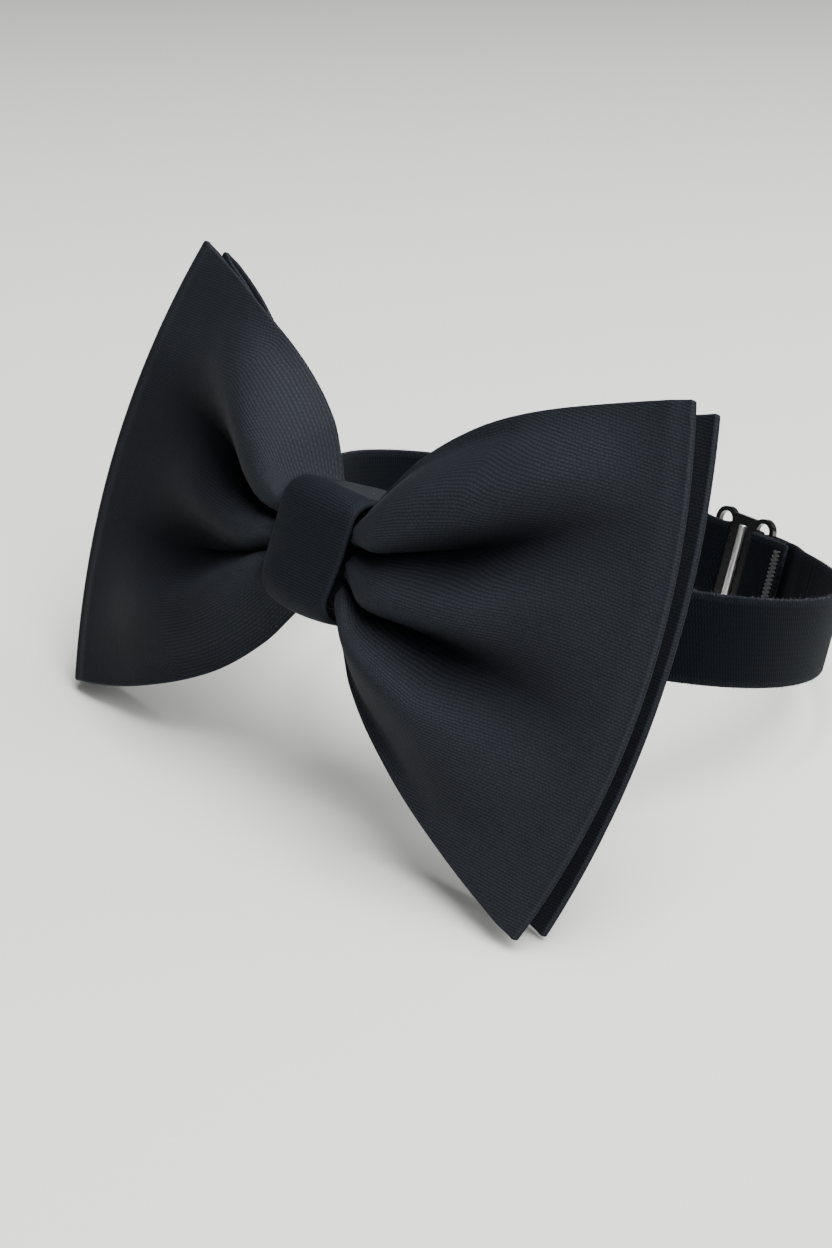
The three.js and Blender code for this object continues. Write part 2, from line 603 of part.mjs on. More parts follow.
// The hook is a plate on its hinge bar. Its tongue passes inside the eye's far wire, and its tip turns
// out through the eye.
const hook = () => {
  const half = HALF_WIDTH + GAP + HOOK_RIM;
  const inner = half - HOOK_RIM;
  const wire = eyeWireFromHook();
  const over = Math.asin((WIRE / 2 + GAP + HOOK_PLATE / 2) / wire.length());
  const lift = wire.angle() + over;
  const reach = wire.length() * Math.cos(over) + WIRE / 2 + HOOK_PLAY + HOOK_PLATE;
  const shoulder = WIRE / 2 + HOOK_SLOT + HOOK_RIM;
  const shape = new THREE.Shape();
  shape.moveTo(WIRE / 2, -half);
  shape.lineTo(WIRE / 2, half);
  shape.lineTo(-shoulder + HOOK_CORNER, half);
  shape.quadraticCurveTo(-shoulder, half, -shoulder, HOOK_TONGUE / 2);
  shape.lineTo(-reach, HOOK_TONGUE / 2);
  shape.lineTo(-reach, -HOOK_TONGUE / 2);
  shape.lineTo(-shoulder, -HOOK_TONGUE / 2);
  shape.quadraticCurveTo(-shoulder, -half, -shoulder + HOOK_CORNER, -half);
  const slot = new THREE.Path();
  slot.moveTo(-WIRE / 2, -inner);
  slot.lineTo(-WIRE / 2 - HOOK_SLOT, -inner);
  slot.lineTo(-WIRE / 2 - HOOK_SLOT, inner);
  slot.lineTo(-WIRE / 2, inner);
  shape.holes.push(slot);
  const body = plate(shape, HOOK_PLATE).rotateX(Math.PI / 2);
  const tip = new THREE.BoxGeometry(HOOK_PLATE, HOOK_LEG, HOOK_TONGUE);
  tip.translate(-reach + HOOK_PLATE / 2, -HOOK_LEG / 2, 0);
  return join(body, tip).rotateZ(-lift);
};

// ---------------------------------------------------------------- assembly
const bow = new THREE.Group();
bow.rotation.x = -BOW_LEAN;
add(bow, "front_bow_loop", loopSolid(FRONT_LOOP, 13, 12, 4), NAVY_CLOTH);
add(bow, "front_interlining", interliningSolid(FRONT_LOOP, 13, 12), LINING);
add(bow, "back_bow_loop", loopSolid(BACK_LOOP, 8, 6, 4), NAVY_CLOTH);
add(bow, "back_interlining", interliningSolid(BACK_LOOP, 8, 3), LINING);
add(bow, "knot_wrap", knotWrap(), NAVY_CLOTH);
add(bow, "gathering_thread", tube(new WaistWinding(), THREAD, 32 * THREAD_TURNS), BLACK_THREAD);
add(bow, "knot_seam_stitches", knotSeam(), BLACK_THREAD);

// The band falls to the rear until the adjuster's lower end stands on the table beside the back
// loop's lower corners, which sets its tilt.
const toBowFrame = (p) => p.applyAxisAngle(new THREE.Vector3(1, 0, 0), -BOW_LEAN);
const foot = toBowFrame(foldPoint(BACK_LOOP, 1, Math.PI / 2, -1, HALF_CLOTH));
const bandStart = toBowFrame(new THREE.Vector3(0, BAND_FRONT, BAND_RAISE));
const rearReach = 2 * BAND_RADIUS + SLIDER_PLATE / 2;
const rearDistance = Math.hypot(rearReach, SLIDER_HALF_HEIGHT);
const bandTilt = Math.asin((bandStart.z - foot.z) / rearDistance) - Math.atan2(SLIDER_HALF_HEIGHT, rearReach);

const band = new THREE.Group();
band.position.copy(bandStart);
band.rotation.x = -bandTilt;
add(band, "knot_strap", strapSolid(knotStrapPath()), ELASTIC);
add(band, "long_strap", strapSolid(longStrapPath()), ELASTIC);
add(band, "long_strap_woven_end", strapSolid(wovenEndPath()), ELASTIC);
add(band, "hook_strap_sewn_end", strapSolid(sewnEndPath()), ELASTIC);
add(band, "hook_strap", strapSolid(hookStrapPath()), ELASTIC);
add(band, "eye_strap", strapSolid(eyeStrapPath()), ELASTIC);
add(band, "stop_bar_tack", barTack(REAR - STOP_TAIL + TACK_INSET, -OVER_FOLD), GREY_THREAD);
add(band, "hook_bar_tack", barTack(HOOK_AT + TAIL - TACK_INSET, -HALF_STRAP), GREY_THREAD);
add(band, "eye_bar_tack", barTack(EYE_AT - EYE_TAIL + TACK_INSET, -OVER_WIRE), GREY_THREAD);

// Pieces of the closure stand on the band's circle, square to it.
const seat = (along) => {
  const group = new THREE.Group();
  const p = onBand(along, 0);
  group.position.set(p.x, p.y, 0);
  group.rotation.z = along / BAND_RADIUS;
  band.add(group);
  return group;
};
const slider = seat(REAR);
add(slider, "slider_frame", sliderFrame(), BLACK_METAL);
add(slider, "slider_bar", sliderBar(), SILVER_METAL);
add(seat(EYE_AT), "eye", eyeRing(), BLACK_METAL);
add(seat(HOOK_AT), "hook", hook(), BLACK_METAL);

const bowTie = new THREE.Group();
bowTie.add(bow, band);

// The origin is under the middle of the whole tie, on the surface it stands on.
const box = new THREE.Box3().setFromObject(bowTie, true);
const centre = box.getCenter(new THREE.Vector3());
bowTie.position.set(-centre.x, -centre.y, -box.min.z);

export default bowTie;
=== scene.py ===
"""A pre-tied bow tie on its elastic neckband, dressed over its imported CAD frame.

Sizes in the classes are millimetres in the bow's or the band's own frame, and Placement turns them
into metres in the model's frame.
"""

import json
import logging
import math
from dataclasses import dataclass
from enum import Enum
from typing import Callable, Dict, List, Optional, Sequence, Tuple, Union

import bmesh
import bpy
import numpy as np
from mathutils import Matrix, Vector

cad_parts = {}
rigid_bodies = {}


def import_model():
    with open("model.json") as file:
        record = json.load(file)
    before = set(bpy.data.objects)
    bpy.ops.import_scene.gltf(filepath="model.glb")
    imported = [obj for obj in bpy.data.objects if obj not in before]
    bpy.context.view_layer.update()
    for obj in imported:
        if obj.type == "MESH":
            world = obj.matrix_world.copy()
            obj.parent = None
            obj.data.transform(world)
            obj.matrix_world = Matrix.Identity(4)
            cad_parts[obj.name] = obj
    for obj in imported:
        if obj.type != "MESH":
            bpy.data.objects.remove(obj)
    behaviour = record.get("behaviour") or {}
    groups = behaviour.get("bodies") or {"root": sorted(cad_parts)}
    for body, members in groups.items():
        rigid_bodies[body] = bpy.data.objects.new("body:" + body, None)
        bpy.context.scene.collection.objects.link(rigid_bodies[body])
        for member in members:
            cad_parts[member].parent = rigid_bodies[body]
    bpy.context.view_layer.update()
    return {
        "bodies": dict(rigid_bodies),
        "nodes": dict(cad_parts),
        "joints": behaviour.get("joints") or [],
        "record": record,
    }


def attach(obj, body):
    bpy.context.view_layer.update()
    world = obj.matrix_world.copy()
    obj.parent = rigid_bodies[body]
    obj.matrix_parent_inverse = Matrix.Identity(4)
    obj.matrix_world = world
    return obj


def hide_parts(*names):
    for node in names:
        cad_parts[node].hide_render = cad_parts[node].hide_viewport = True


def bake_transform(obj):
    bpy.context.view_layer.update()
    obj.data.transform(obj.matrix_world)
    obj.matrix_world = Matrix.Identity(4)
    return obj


LOG = logging.getLogger("bow_tie")
MM = 0.001
UV_SPAN = 100.0  # millimetres of cloth in one unit of a piece's cloth map
CLOTH_MAP = "cloth"
RUB_AND_SHADE = "rub_and_shade"  # above 0 on a rubbed edge, partly a painted highlight; below 0 painted shade deep in a fold

# Sizes shared with the CAD part.
GAP = 0.3
KNOT_WIDTH = 16.4
KNOT_CLOTH = 1.2
KNOT_RAISE = 0.6
STRAP = 0.8
STRAP_WIDTH = 15.0
WIRE = 1.2
HALF_STRAP = STRAP / 2

Array = np.ndarray
Number = Union[int, float]
Colour = Tuple[float, float, float]
Stops = Sequence[Tuple[float, float]]
TURN = 2 * math.pi


# ---------------------------------------------------------------- arithmetic on arrays
def smoothstep(x: Array, low: float, high: float) -> Array:
    """0 below low, 1 above high, and 3t^2 - 2t^3 between them.

    Args:
        x: the values.
        low: where the step starts.
        high: where the step ends.

    Returns:
        The eased values, from 0 to 1.
    """
    t = np.clip((np.asarray(x, float) - low) / (high - low), 0.0, 1.0)
    return t * t * (3.0 - 2.0 * t)


def blend_of(a: Array, b: Array, t: Array) -> Array:
    """The mix a(1 - t) + bt."""
    return a * (1.0 - t) + b * t


def unit(v: Array) -> Array:
    """Vectors divided by their own lengths."""
    return v / np.maximum(np.linalg.norm(v, axis=-1, keepdims=True), 1e-12)


def spline_at(x: Array, stops: Stops) -> Array:
    """A monotone cubic through the stops, with each stop's slope the harmonic mean of its neighbours'.

    Args:
        x: where the curve is read; it is held flat past both ends.
        stops: pairs of place and value, in rising order of place.

    Returns:
        The curve's values.
    """
    px, py = np.array(stops, float).T
    h = np.diff(px)
    d = np.diff(py) / h
    m = np.zeros_like(px)
    inner = d[:-1] * d[1:] > 0
    m[1:-1][inner] = 2 * d[:-1][inner] * d[1:][inner] / (d[:-1][inner] + d[1:][inner])
    m[0], m[-1] = d[0], d[-1]
    x = np.clip(np.asarray(x, float), px[0], px[-1])
    k = np.clip(np.searchsorted(px, x) - 1, 0, len(h) - 1)
    t = (x - px[k]) / h[k]
    return (
        (2 * t**3 - 3 * t**2 + 1) * py[k]
        + (t**3 - 2 * t**2 + t) * h[k] * m[k]
        + (3 * t**2 - 2 * t**3) * py[k + 1]
        + (t**3 - t**2) * h[k] * m[k + 1]
    )


def stations(stops: Sequence[float], counts: Sequence[int]) -> Array:
    """Places between the stops, with counts steps in each stretch, and both ends included."""
    runs = [
        np.linspace(a, b, n, endpoint=False)
        for a, b, n in zip(stops[:-1], stops[1:], counts)
    ]
    return np.concatenate(runs + [np.array([stops[-1]])])


# ---------------------------------------------------------------- meshes
@dataclass(frozen=True)
class Placement:
    """A local frame in millimetres and its place in the model.

    Attributes:
        origin: the frame's origin in the model, in metres.
        right: the model direction of local x.
        back: the model direction of local y.
        up: the model direction of local z.
    """

    origin: Array
    right: Array
    back: Array
    up: Array

    def place(self, p: Array) -> Array:
        """Local millimetres (..., 3) to model metres: origin + x right + y back + z up."""
        local = np.asarray(p, float)
        axes = np.stack([self.right, self.back, self.up])
        return self.origin + (local @ axes) * MM

    def point(self, x: float, y: float, z: float) -> Tuple[float, float, float]:
        """One local point in the model, as plain numbers."""
        return tuple(float(v) for v in self.place(np.array([x, y, z])))


@dataclass
class Skin:
    """A grid of points to be made a mesh.

    Attributes:
        points: the grid (rows, columns, 3), in metres.
        cloth: the grid (rows, columns, 2) of places on the cloth, in millimetres.
        rub_and_shade: the grid (rows, columns), up to 1 on a rubbed edge with painted highlight, down to -1
            for painted shade in a fold.
        round_rows: whether the last row joins the first.
        round_columns: whether the last column joins the first.
        capped: whether the first and last rows are closed with a face.
    """

    points: Array
    cloth: Array
    rub_and_shade: Optional[Array] = None
    round_rows: bool = False
    round_columns: bool = False
    capped: bool = False

    def faces(self) -> Array:
        """Four corners of every cell, by index: (i, j), (i, j+1), (i+1, j+1), (i+1, j)."""
        rows, columns = self.points.shape[:2]
        i = np.arange(rows if self.round_rows else rows - 1)
        j = np.arange(columns if self.round_columns else columns - 1)
        a, b = i[:, None], j[None, :]
        c, d = (a + 1) % rows, (b + 1) % columns
        corners = [a * columns + b, a * columns + d, c * columns + d, c * columns + b]
        return np.stack([np.broadcast_to(q, (len(i), len(j))) for q in corners], -1).reshape(-1, 4)

    def mesh(self, name: str) -> bpy.types.Mesh:
        """The grid as a mesh with its cloth map and its rub-and-shade attribute, facing out.

        Args:
            name: the mesh's name.

        Returns:
            The mesh.
        """
        rows, columns = self.points.shape[:2]
        vertices = self.points.reshape(-1, 3)
        quads = self.faces()
        caps: List[List[int]] = []
        if self.capped:
            caps = [list(range(columns))[::-1], list(range((rows - 1) * columns, rows * columns))]
        mesh = bpy.data.meshes.new(name)
        mesh.from_pydata(vertices.tolist(), [], quads.tolist() + caps)
        mesh.validate()
        corner = np.empty(len(mesh.loops), np.int32)
        mesh.loops.foreach_get("vertex_index", corner)
        layer = mesh.uv_layers.new(name=CLOTH_MAP)
        flat = (self.cloth.reshape(-1, 2) / UV_SPAN)[corner]
        layer.data.foreach_set("uv", flat.astype(np.float32).ravel())
        rub_and_shade_values = np.zeros(len(vertices)) if self.rub_and_shade is None else self.rub_and_shade.reshape(-1)
        attribute = mesh.attributes.new(RUB_AND_SHADE, "FLOAT", "POINT")
        attribute.data.foreach_set("value", rub_and_shade_values.astype(np.float32))
        face_out(mesh)
        mesh.shade_smooth()
        return mesh


def face_out(mesh: bpy.types.Mesh) -> None:
    """Turns a closed mesh's faces outwards, all at once, when its signed volume is negative."""
    shape = bmesh.new()
    shape.from_mesh(mesh)
    if shape.calc_volume(signed=True) < 0:
        bmesh.ops.reverse_faces(shape, faces=shape.faces[:])
    shape.to_mesh(mesh)
    shape.free()
    mesh.update()


def join_meshes(name: str, meshes: Sequence[bpy.types.Mesh]) -> bpy.types.Mesh:
    """Several meshes as one, with their maps and attributes kept.

    Args:
        name: the joined mesh's name.
        meshes: the meshes, which are removed afterwards.

    Returns:
        The joined mesh.
    """
    shape = bmesh.new()
    for mesh in meshes:
        shape.from_mesh(mesh)
    joined = bpy.data.meshes.new(name)
    shape.to_mesh(joined)
    shape.free()
    for mesh in meshes:
        bpy.data.meshes.remove(mesh)
    joined.shade_smooth()
    return joined


def piece(name: str, mesh: bpy.types.Mesh, material: bpy.types.Material) -> bpy.types.Object:
    """A new object at the origin that shows a mesh in one material."""
    made = bpy.data.objects.new(name, mesh)
    mesh.materials.clear()
    mesh.materials.append(material)
    bpy.context.scene.collection.objects.link(made)
    return made


def dress(made: bpy.types.Object, slot: str, *nodes: str, body: str = "") -> bpy.types.Object:
    """Gives a piece its body and hides the CAD nodes that it replaces.

    Args:
        made: the piece.
        slot: its material slot; not used.
        nodes: the CAD nodes that it stands for.
        body: the body that it rides, or nothing for a piece that rides no body.

    Returns:
        The piece.
    """
    if body:
        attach(made, body)
    if nodes:
        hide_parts(*nodes)
    return made


def tube(path: Array, radius: Union[float, Array], sides: int, ring: bool = False) -> Skin:
    """A round thread or wire along a path, by carrying a circle in each point's own cross plane.

    Each point's tangent t is the difference of its neighbours; one cross direction is carried along
    by removing its part along t, and the other is t x it.

    Args:
        path: the middle line (n, 3), in metres.
        radius: the wire's radius in metres, one for all or one for each point.
        sides: points round the section.
        ring: whether the path is closed.

    Returns:
        The skin, capped unless it is a ring.
    """
    if ring:
        tangent = unit(np.roll(path, -1, 0) - np.roll(path, 1, 0))
    else:
        tangent = unit(np.gradient(path, axis=0))
    spread = np.ptp(path, axis=0)
    across = np.zeros(3)
    across[int(np.argmin(spread))] = 1.0
    side = unit(across - (tangent @ across)[:, None] * tangent)
    other = np.cross(tangent, side)
    turn = np.arange(sides) * (TURN / sides)
    reach = np.broadcast_to(np.asarray(radius, float), (len(path),))[:, None, None]
    points = path[:, None] + reach * (
        np.cos(turn)[None, :, None] * side[:, None] + np.sin(turn)[None, :, None] * other[:, None]
    )
    run = np.concatenate([[0.0], np.cumsum(np.linalg.norm(np.diff(path, axis=0), axis=1))]) / MM
    cloth = np.stack(np.broadcast_arrays(run[:, None], turn[None, :]), -1)
    return Skin(points, cloth, None, ring, True, not ring)


def smooth_path(path: Array, step: float) -> Array:
    """A path (n, k) again at even steps of its own length, straight between its points."""
    run = np.concatenate([[0.0], np.cumsum(np.linalg.norm(np.diff(path, axis=0), axis=1))])
    keep = np.concatenate([[True], np.diff(run) > 1e-9])
    run, path = run[keep], path[keep]
    at = np.linspace(0.0, run[-1], max(2, int(round(run[-1] / step)) + 1))
    return np.stack([np.interp(at, run, path[:, k]) for k in range(path.shape[1])], -1)


# ---------------------------------------------------------------- shader arithmetic
def operator(
    operation: str, reflected: bool = False
) -> Callable[["Signal", Union["Signal", Number]], "Signal"]:
    """Makes one of Signal's operators.

    Args:
        operation: the Math node's operation.
        reflected: whether the other value comes first.

    Returns:
        A method of self and the other value.
    """

    def method(self: "Signal", other: Union["Signal", Number]) -> "Signal":
        """One Math node on self and the other value."""
        return self.combine(operation, other, self) if reflected else self.combine(operation, self, other)

    return method


class Signal:
    """A socket of a node tree that takes part in arithmetic; each operator adds a Math node."""

    __add__, __radd__ = operator("ADD"), operator("ADD", reflected=True)
    __sub__, __rsub__ = operator("SUBTRACT"), operator("SUBTRACT", reflected=True)
    __mul__, __rmul__ = operator("MULTIPLY"), operator("MULTIPLY", reflected=True)
    __truediv__ = operator("DIVIDE")

    def __init__(self, board: "Board", socket: bpy.types.NodeSocket) -> None:
        """Keeps the tree and the socket."""
        self.board = board
        self.socket = socket

    def combine(self, operation: str, *values: Union["Signal", Number]) -> "Signal":
        """One Math node on the given values."""
        return self.board.node("ShaderNodeMath", {"operation": operation}, dict(enumerate(values)))

    def sine(self) -> "Signal":
        """The sine of self, in radians."""
        return self.combine("SINE", self)

    def floor(self) -> "Signal":
        """The whole number below self."""
        return self.combine("FLOOR", self)

    def size(self) -> "Signal":
        """self without its sign."""
        return self.combine("ABSOLUTE", self)

    def above_zero(self) -> "Signal":
        """self where it is positive, and 0 elsewhere."""
        return self.combine("MAXIMUM", self, 0.0)

    def over(self, edge: Number) -> "Signal":
        """1 where self is above an edge, and 0 elsewhere."""
        return self.combine("GREATER_THAN", self, edge)

    def eased(self, low: Number, high: Number) -> "Signal":
        """0 below low, 1 above high, and smooth between them."""
        return self.board.node(
            "ShaderNodeMapRange",
            {"interpolation_type": "SMOOTHSTEP"},
            {"Value": self, "From Min": low, "From Max": high},
        )


class Board:
    """One material's node tree, with its Principled shader."""

    def __init__(self, name: str) -> None:
        """Makes an empty material with a Principled shader and an output."""
        self.material = bpy.data.materials.new(name)
        self.material.use_nodes = True
        self.tree = self.material.node_tree
        self.tree.nodes.clear()
        self.shader = self.tree.nodes.new("ShaderNodeBsdfPrincipled")
        output = self.tree.nodes.new("ShaderNodeOutputMaterial")
        self.tree.links.new(self.shader.outputs[0], output.inputs[0])

    def put(self, socket: bpy.types.NodeSocket, value: object) -> None:
        """Links a signal to a socket, or sets a plain value on it."""
        if isinstance(value, Signal):
            self.tree.links.new(value.socket, socket)
        elif isinstance(value, (tuple, list)) and len(value) == 3 and len(socket.default_value) == 4:
            socket.default_value = (*value, 1.0)
        else:
            socket.default_value = value

    def node(
        self,
        kind: str,
        settings: Optional[Dict[str, object]] = None,
        inputs: Optional[Dict[Union[str, int], object]] = None,
        output: Union[str, int] = 0,
    ) -> Signal:
        """Adds a node.

        Args:
            kind: the node's type.
            settings: attributes set first.
            inputs: values or signals by socket name or number.
            output: the socket that is returned.

        Returns:
            The chosen output.
        """
        made = self.tree.nodes.new(kind)
        for key, value in (settings or {}).items():
            setattr(made, key, value)
        for key, value in (inputs or {}).items():
            self.put(made.inputs[key], value)
        return Signal(self, made.outputs[output])

    def object_place(self) -> Signal:
        """Object coordinates, in metres."""
        return self.node("ShaderNodeTexCoord", output="Object")

    def split(self, place: Signal) -> Tuple[Signal, Signal, Signal]:
        """The three parts of a place."""
        parts = self.node("ShaderNodeSeparateXYZ", inputs={0: place}).socket.node.outputs
        return Signal(self, parts[0]), Signal(self, parts[1]), Signal(self, parts[2])

    def cloth_axes(self) -> Tuple[Signal, Signal]:
        """Places along and across the cloth, in millimetres."""
        along, across, _ = self.split(self.node("ShaderNodeUVMap", {"uv_map": CLOTH_MAP}))
        return along * UV_SPAN, across * UV_SPAN

    def rub_and_shade(self) -> Signal:
        """How far a point is a rubbed edge, up to 1, partly a painted highlight on the bow's cloth, or in
        painted shade deep in a fold, down to -1.
        """
        return self.node("ShaderNodeAttribute", {"attribute_name": RUB_AND_SHADE}, output="Fac")

    def noise(self, scale: float, detail: float = 2.0, roughness: float = 0.5,
              place: Optional[Signal] = None) -> Signal:
        """Fractal noise about 0.5 on object coordinates, or on another place."""
        return self.node(
            "ShaderNodeTexNoise",
            inputs={
                "Vector": place or self.object_place(),
                "Scale": scale,
                "Detail": detail,
                "Roughness": roughness,
            },
            output="Fac",
        )

    def mixed(self, a: Union[Signal, Colour], b: Union[Signal, Colour],
              share: Union[Signal, Number]) -> Signal:
        """The colour a(1 - share) + b share."""
        made = self.tree.nodes.new("ShaderNodeMix")
        made.data_type = "RGBA"
        self.put(made.inputs["Factor"], share)
        self.put(made.inputs[6], a)
        self.put(made.inputs[7], b)
        return Signal(self, made.outputs[2])

    def bump(self, height: Signal, distance: float, strength: float = 1.0,
             under: Optional[Signal] = None) -> Signal:
        """A normal from a height, over an earlier normal if there is one."""
        inputs: Dict[Union[str, int], object] = {
            "Height": height, "Distance": distance, "Strength": strength,
        }
        if under is not None:
            inputs["Normal"] = under
        return self.node("ShaderNodeBump", inputs=inputs)

    def finish(self, **sockets: object) -> bpy.types.Material:
        """Gives the shader its sockets, named with _ for spaces, and returns the material."""
        for key, value in sockets.items():
            self.put(self.shader.inputs[key.replace("_", " ")], value)
        return self.material


# ---------------------------------------------------------------- finishes
class Grain(Enum):
    """Which way a cloth's ribs run over its piece."""

    ALONG = "along"
    ROUND = "round"


@dataclass(frozen=True)
class RibbedTwill:
    """Navy-black microfibre with fine raised ribs and a soft sheen.

    Attributes:
        name: the material's name.
        grain: which way the ribs run.
        ground: colour between the ribs.
        crown: colour on top of the ribs.
        rub_and_highlight: colour of rubbed edges, partly wear and partly a painted highlight.
        deep: painted shade deep in a fold.
        lint_shade: colour of the rare specks of lint.
        rib: from one rib to the next, in millimetres.
        tick: length of one float of yarn along a rib, in millimetres.
        stagger: how far a rib's floats are shifted from its neighbour's, in floats.
        wander: how far slow noise bends the ribs, in millimetres.
        relief: the ribs' height, in metres.
        pucker: the cloth's own slight unevenness, in metres.
    """

    name: str
    grain: Grain = Grain.ALONG
    ground: Colour = (0.0078, 0.0087, 0.0112)
    crown: Colour = (0.027, 0.0298, 0.037)
    rub_and_highlight: Colour = (0.035, 0.0392, 0.051)
    deep: Colour = (0.0012, 0.0016, 0.0026)
    lint_shade: Colour = (0.22, 0.23, 0.25)
    rib: float = 0.48
    tick: float = 0.62
    stagger: float = 0.47
    wander: float = 0.35
    relief: float = 0.00003
    pucker: float = 0.00012

    def material(self) -> bpy.types.Material:
        """Ribs are a raised cosine across the cloth; each is cut into floats by a second cosine that
        is offset from row to row and jogged by noise, and slow noise bends the ribs a little."""
        board = Board(self.name)
        along, across = board.cloth_axes()
        if self.grain is Grain.ROUND:
            along, across = across, along
        drift = (board.noise(260.0) - 0.5) * self.wander
        row = (across + drift) / self.rib
        floats = along / self.tick + row.floor() * self.stagger + (board.noise(1100.0) - 0.5) * 1.1
        rib = (row * TURN).sine() * 0.5 + 0.5
        cut = (floats * TURN).sine() * 0.5 + 0.5
        yarn = board.noise(3800.0, 3.0, 0.6)
        height = rib * (0.24 + cut * 0.36) + yarn * 1.05
        shade = board.mixed(self.ground, self.crown, height.eased(0.15, 1.5))
        broad = board.noise(38.0, 3.0, 0.6)
        shade = board.mixed(shade, self.ground, broad.eased(0.45, 0.75) * 0.35)
        # edge pales rubbed edges, partly a painted highlight; fold mixes in deep, a painted shade in the
        # valleys
        edge, fold = board.rub_and_shade().above_zero(), (board.rub_and_shade() * -1.0).above_zero()
        shade = board.mixed(shade, self.rub_and_highlight, edge * (0.3 + yarn * 0.4))
        shade = board.mixed(shade, self.deep, fold * 0.9)
        shade = board.mixed(shade, self.lint_shade, self.lint(board) * 0.8)
        soft = board.bump(board.noise(420.0, 2.0), self.pucker, 0.5)
        return board.finish(
            Base_Color=shade,
            Roughness=0.56 + yarn * 0.16 - edge * 0.08 + fold * 0.2,
            Normal=board.bump(height, self.relief, 0.9, soft),
            Specular_IOR_Level=0.06,
            Specular_Tint=(0.84, 0.91, 1.0, 1.0),
            Sheen_Weight=0.02,
            Sheen_Roughness=0.35,
            Sheen_Tint=(0.62, 0.7, 0.85, 1.0),
        )

    @staticmethod
    def lint(board: Board) -> Signal:
        """1 on a speck of lint: the middle of one cell in forty, and 0 elsewhere."""
        cells = board.node(
            "ShaderNodeTexVoronoi",
            {"feature": "F1"},
            {"Vector": board.object_place(), "Scale": 210.0},
        )
        tint = Signal(board, cells.socket.node.outputs["Color"])
        luck = board.node("ShaderNodeSeparateColor", inputs={0: tint})
        return (1.0 - cells.eased(0.03, 0.06)) * luck.over(0.975)


@dataclass(frozen=True)
class WovenElastic:
    """Matte woven elastic: fine cords along the strap, crossed by close weft ribs.

    Attributes:
        name: the material's name.
        ground: colour in the grooves.
        crown: colour on the ribs.
        rub_and_highlight: colour of the selvedges.
        rib: from one cross rib to the next, in millimetres.
        cord: from one lengthwise cord to the next, in millimetres.
        relief: the weave's height, in metres.
    """

    name: str
    ground: Colour = (0.0005, 0.0008, 0.0013)
    crown: Colour = (0.0022, 0.0031, 0.0052)
    rub_and_highlight: Colour = (0.034, 0.038, 0.045)
    rib: float = 0.55
    cord: float = 0.86
    relief: float = 0.00007

    def material(self) -> bpy.types.Material:
        """Height is the weft cosine times a cosine over the cords whose phase swaps from cord to
        cord, with yarn noise; pressed edges are paler."""
        board = Board(self.name)
        along, across = board.cloth_axes()
        lane = across / self.cord
        phase = lane.floor() * 0.5
        weft = ((along / self.rib + phase) * TURN).sine() * 0.5 + 0.5
        cord = (lane * math.pi).sine().size()
        yarn = board.noise(4200.0, 3.0)
        height = weft * (0.45 + cord * 0.55) + yarn * 0.45
        shade = board.mixed(self.ground, self.crown, height.eased(0.1, 1.25))
        shade = board.mixed(shade, self.rub_and_highlight, board.rub_and_shade() * yarn.eased(0.35, 0.75) * 0.8)
        return board.finish(
            Base_Color=shade,
            Roughness=0.74 + yarn * 0.14,
            Normal=board.bump(height, self.relief, 0.85),
            Specular_IOR_Level=0.05,
            Specular_Tint=(0.82, 0.9, 1.0, 1.0),
            Sheen_Weight=0.02,
            Sheen_Roughness=0.5,
            Sheen_Tint=(0.7, 0.76, 0.88, 1.0),
        )


@dataclass(frozen=True)
class TwistedThread:
    """Sewing thread with its plies twisted round it.

    Attributes:
        name: the material's name.
        shade: the thread's colour.
        glint: colour on the plies' crowns.
        pitch: from one ply to the next along the thread, in millimetres.
    """

    name: str
    shade: Colour = (0.008, 0.01, 0.014)
    glint: Colour = (0.04, 0.045, 0.055)
    pitch: float = 0.5

    def material(self) -> bpy.types.Material:
        """Plies are a sine of the place along the thread plus the angle round it."""
        board = Board(self.name)
        along, round_it = board.cloth_axes()
        ply = (along * (TURN / self.pitch) + round_it).sine() * 0.5 + 0.5
        yarn = board.noise(3800.0, 2.0)
        height = ply * 0.7 + yarn * 0.3
        return board.finish(
            Base_Color=board.mixed(self.shade, self.glint, height.eased(0.2, 1.0)),
            Roughness=0.5 + yarn * 0.2,
            Normal=board.bump(height, 0.00004, 0.8),
            Sheen_Weight=0.2,
        )


@dataclass(frozen=True)
class PlainWeave:
    """Stiff interlining in a plain weave, read from object coordinates.

    Attributes:
        name: the material's name.
        shade: the cloth's colour.
        gap: colour between its yarns.
        pitch: from one yarn to the next, in metres.
    """

    name: str
    shade: Colour = (0.055, 0.056, 0.06)
    gap: Colour = (0.018, 0.019, 0.022)
    pitch: float = 0.0006

    def material(self) -> bpy.types.Material:
        """The weave is the product of two sines over the sheet."""
        board = Board(self.name)
        x, _, z = board.split(board.object_place())
        warp = (x * (TURN / self.pitch)).sine()
        weft = (z * (TURN / self.pitch)).sine()
        weave = warp * weft * 0.5 + 0.5
        return board.finish(
            Base_Color=board.mixed(self.gap, self.shade, weave),
            Roughness=0.85 + board.noise(900.0) * 0.1,
            Normal=board.bump(weave, 0.00005, 0.7),
        )


@dataclass(frozen=True)
class Enamel:
    """Gloss black coating over metal, with faint scuffs.

    Attributes:
        name: the material's name.
        shade: the coating's colour.
        scuff: the scuffs' colour.
    """

    name: str
    shade: Colour = (0.0038, 0.004, 0.0047)
    scuff: Colour = (0.008, 0.0084, 0.0095)

    def material(self) -> bpy.types.Material:
        """Scuffs are the crests of a stretched noise; an orange-peel noise dents the gloss."""
        board = Board(self.name)
        marks = board.noise(1300.0, 4.0, 0.7).eased(0.6, 0.72)
        peel = board.noise(2400.0, 1.0)
        return board.finish(
            Base_Color=board.mixed(self.shade, self.scuff, marks * 0.4),
            Roughness=0.24 + marks * 0.2 + peel * 0.04,
            Normal=board.bump(peel, 0.000006, 0.15),
            Metallic=0.0,
            Coat_Weight=0.4,
            Coat_Roughness=0.14,
            Specular_IOR_Level=0.42,
        )


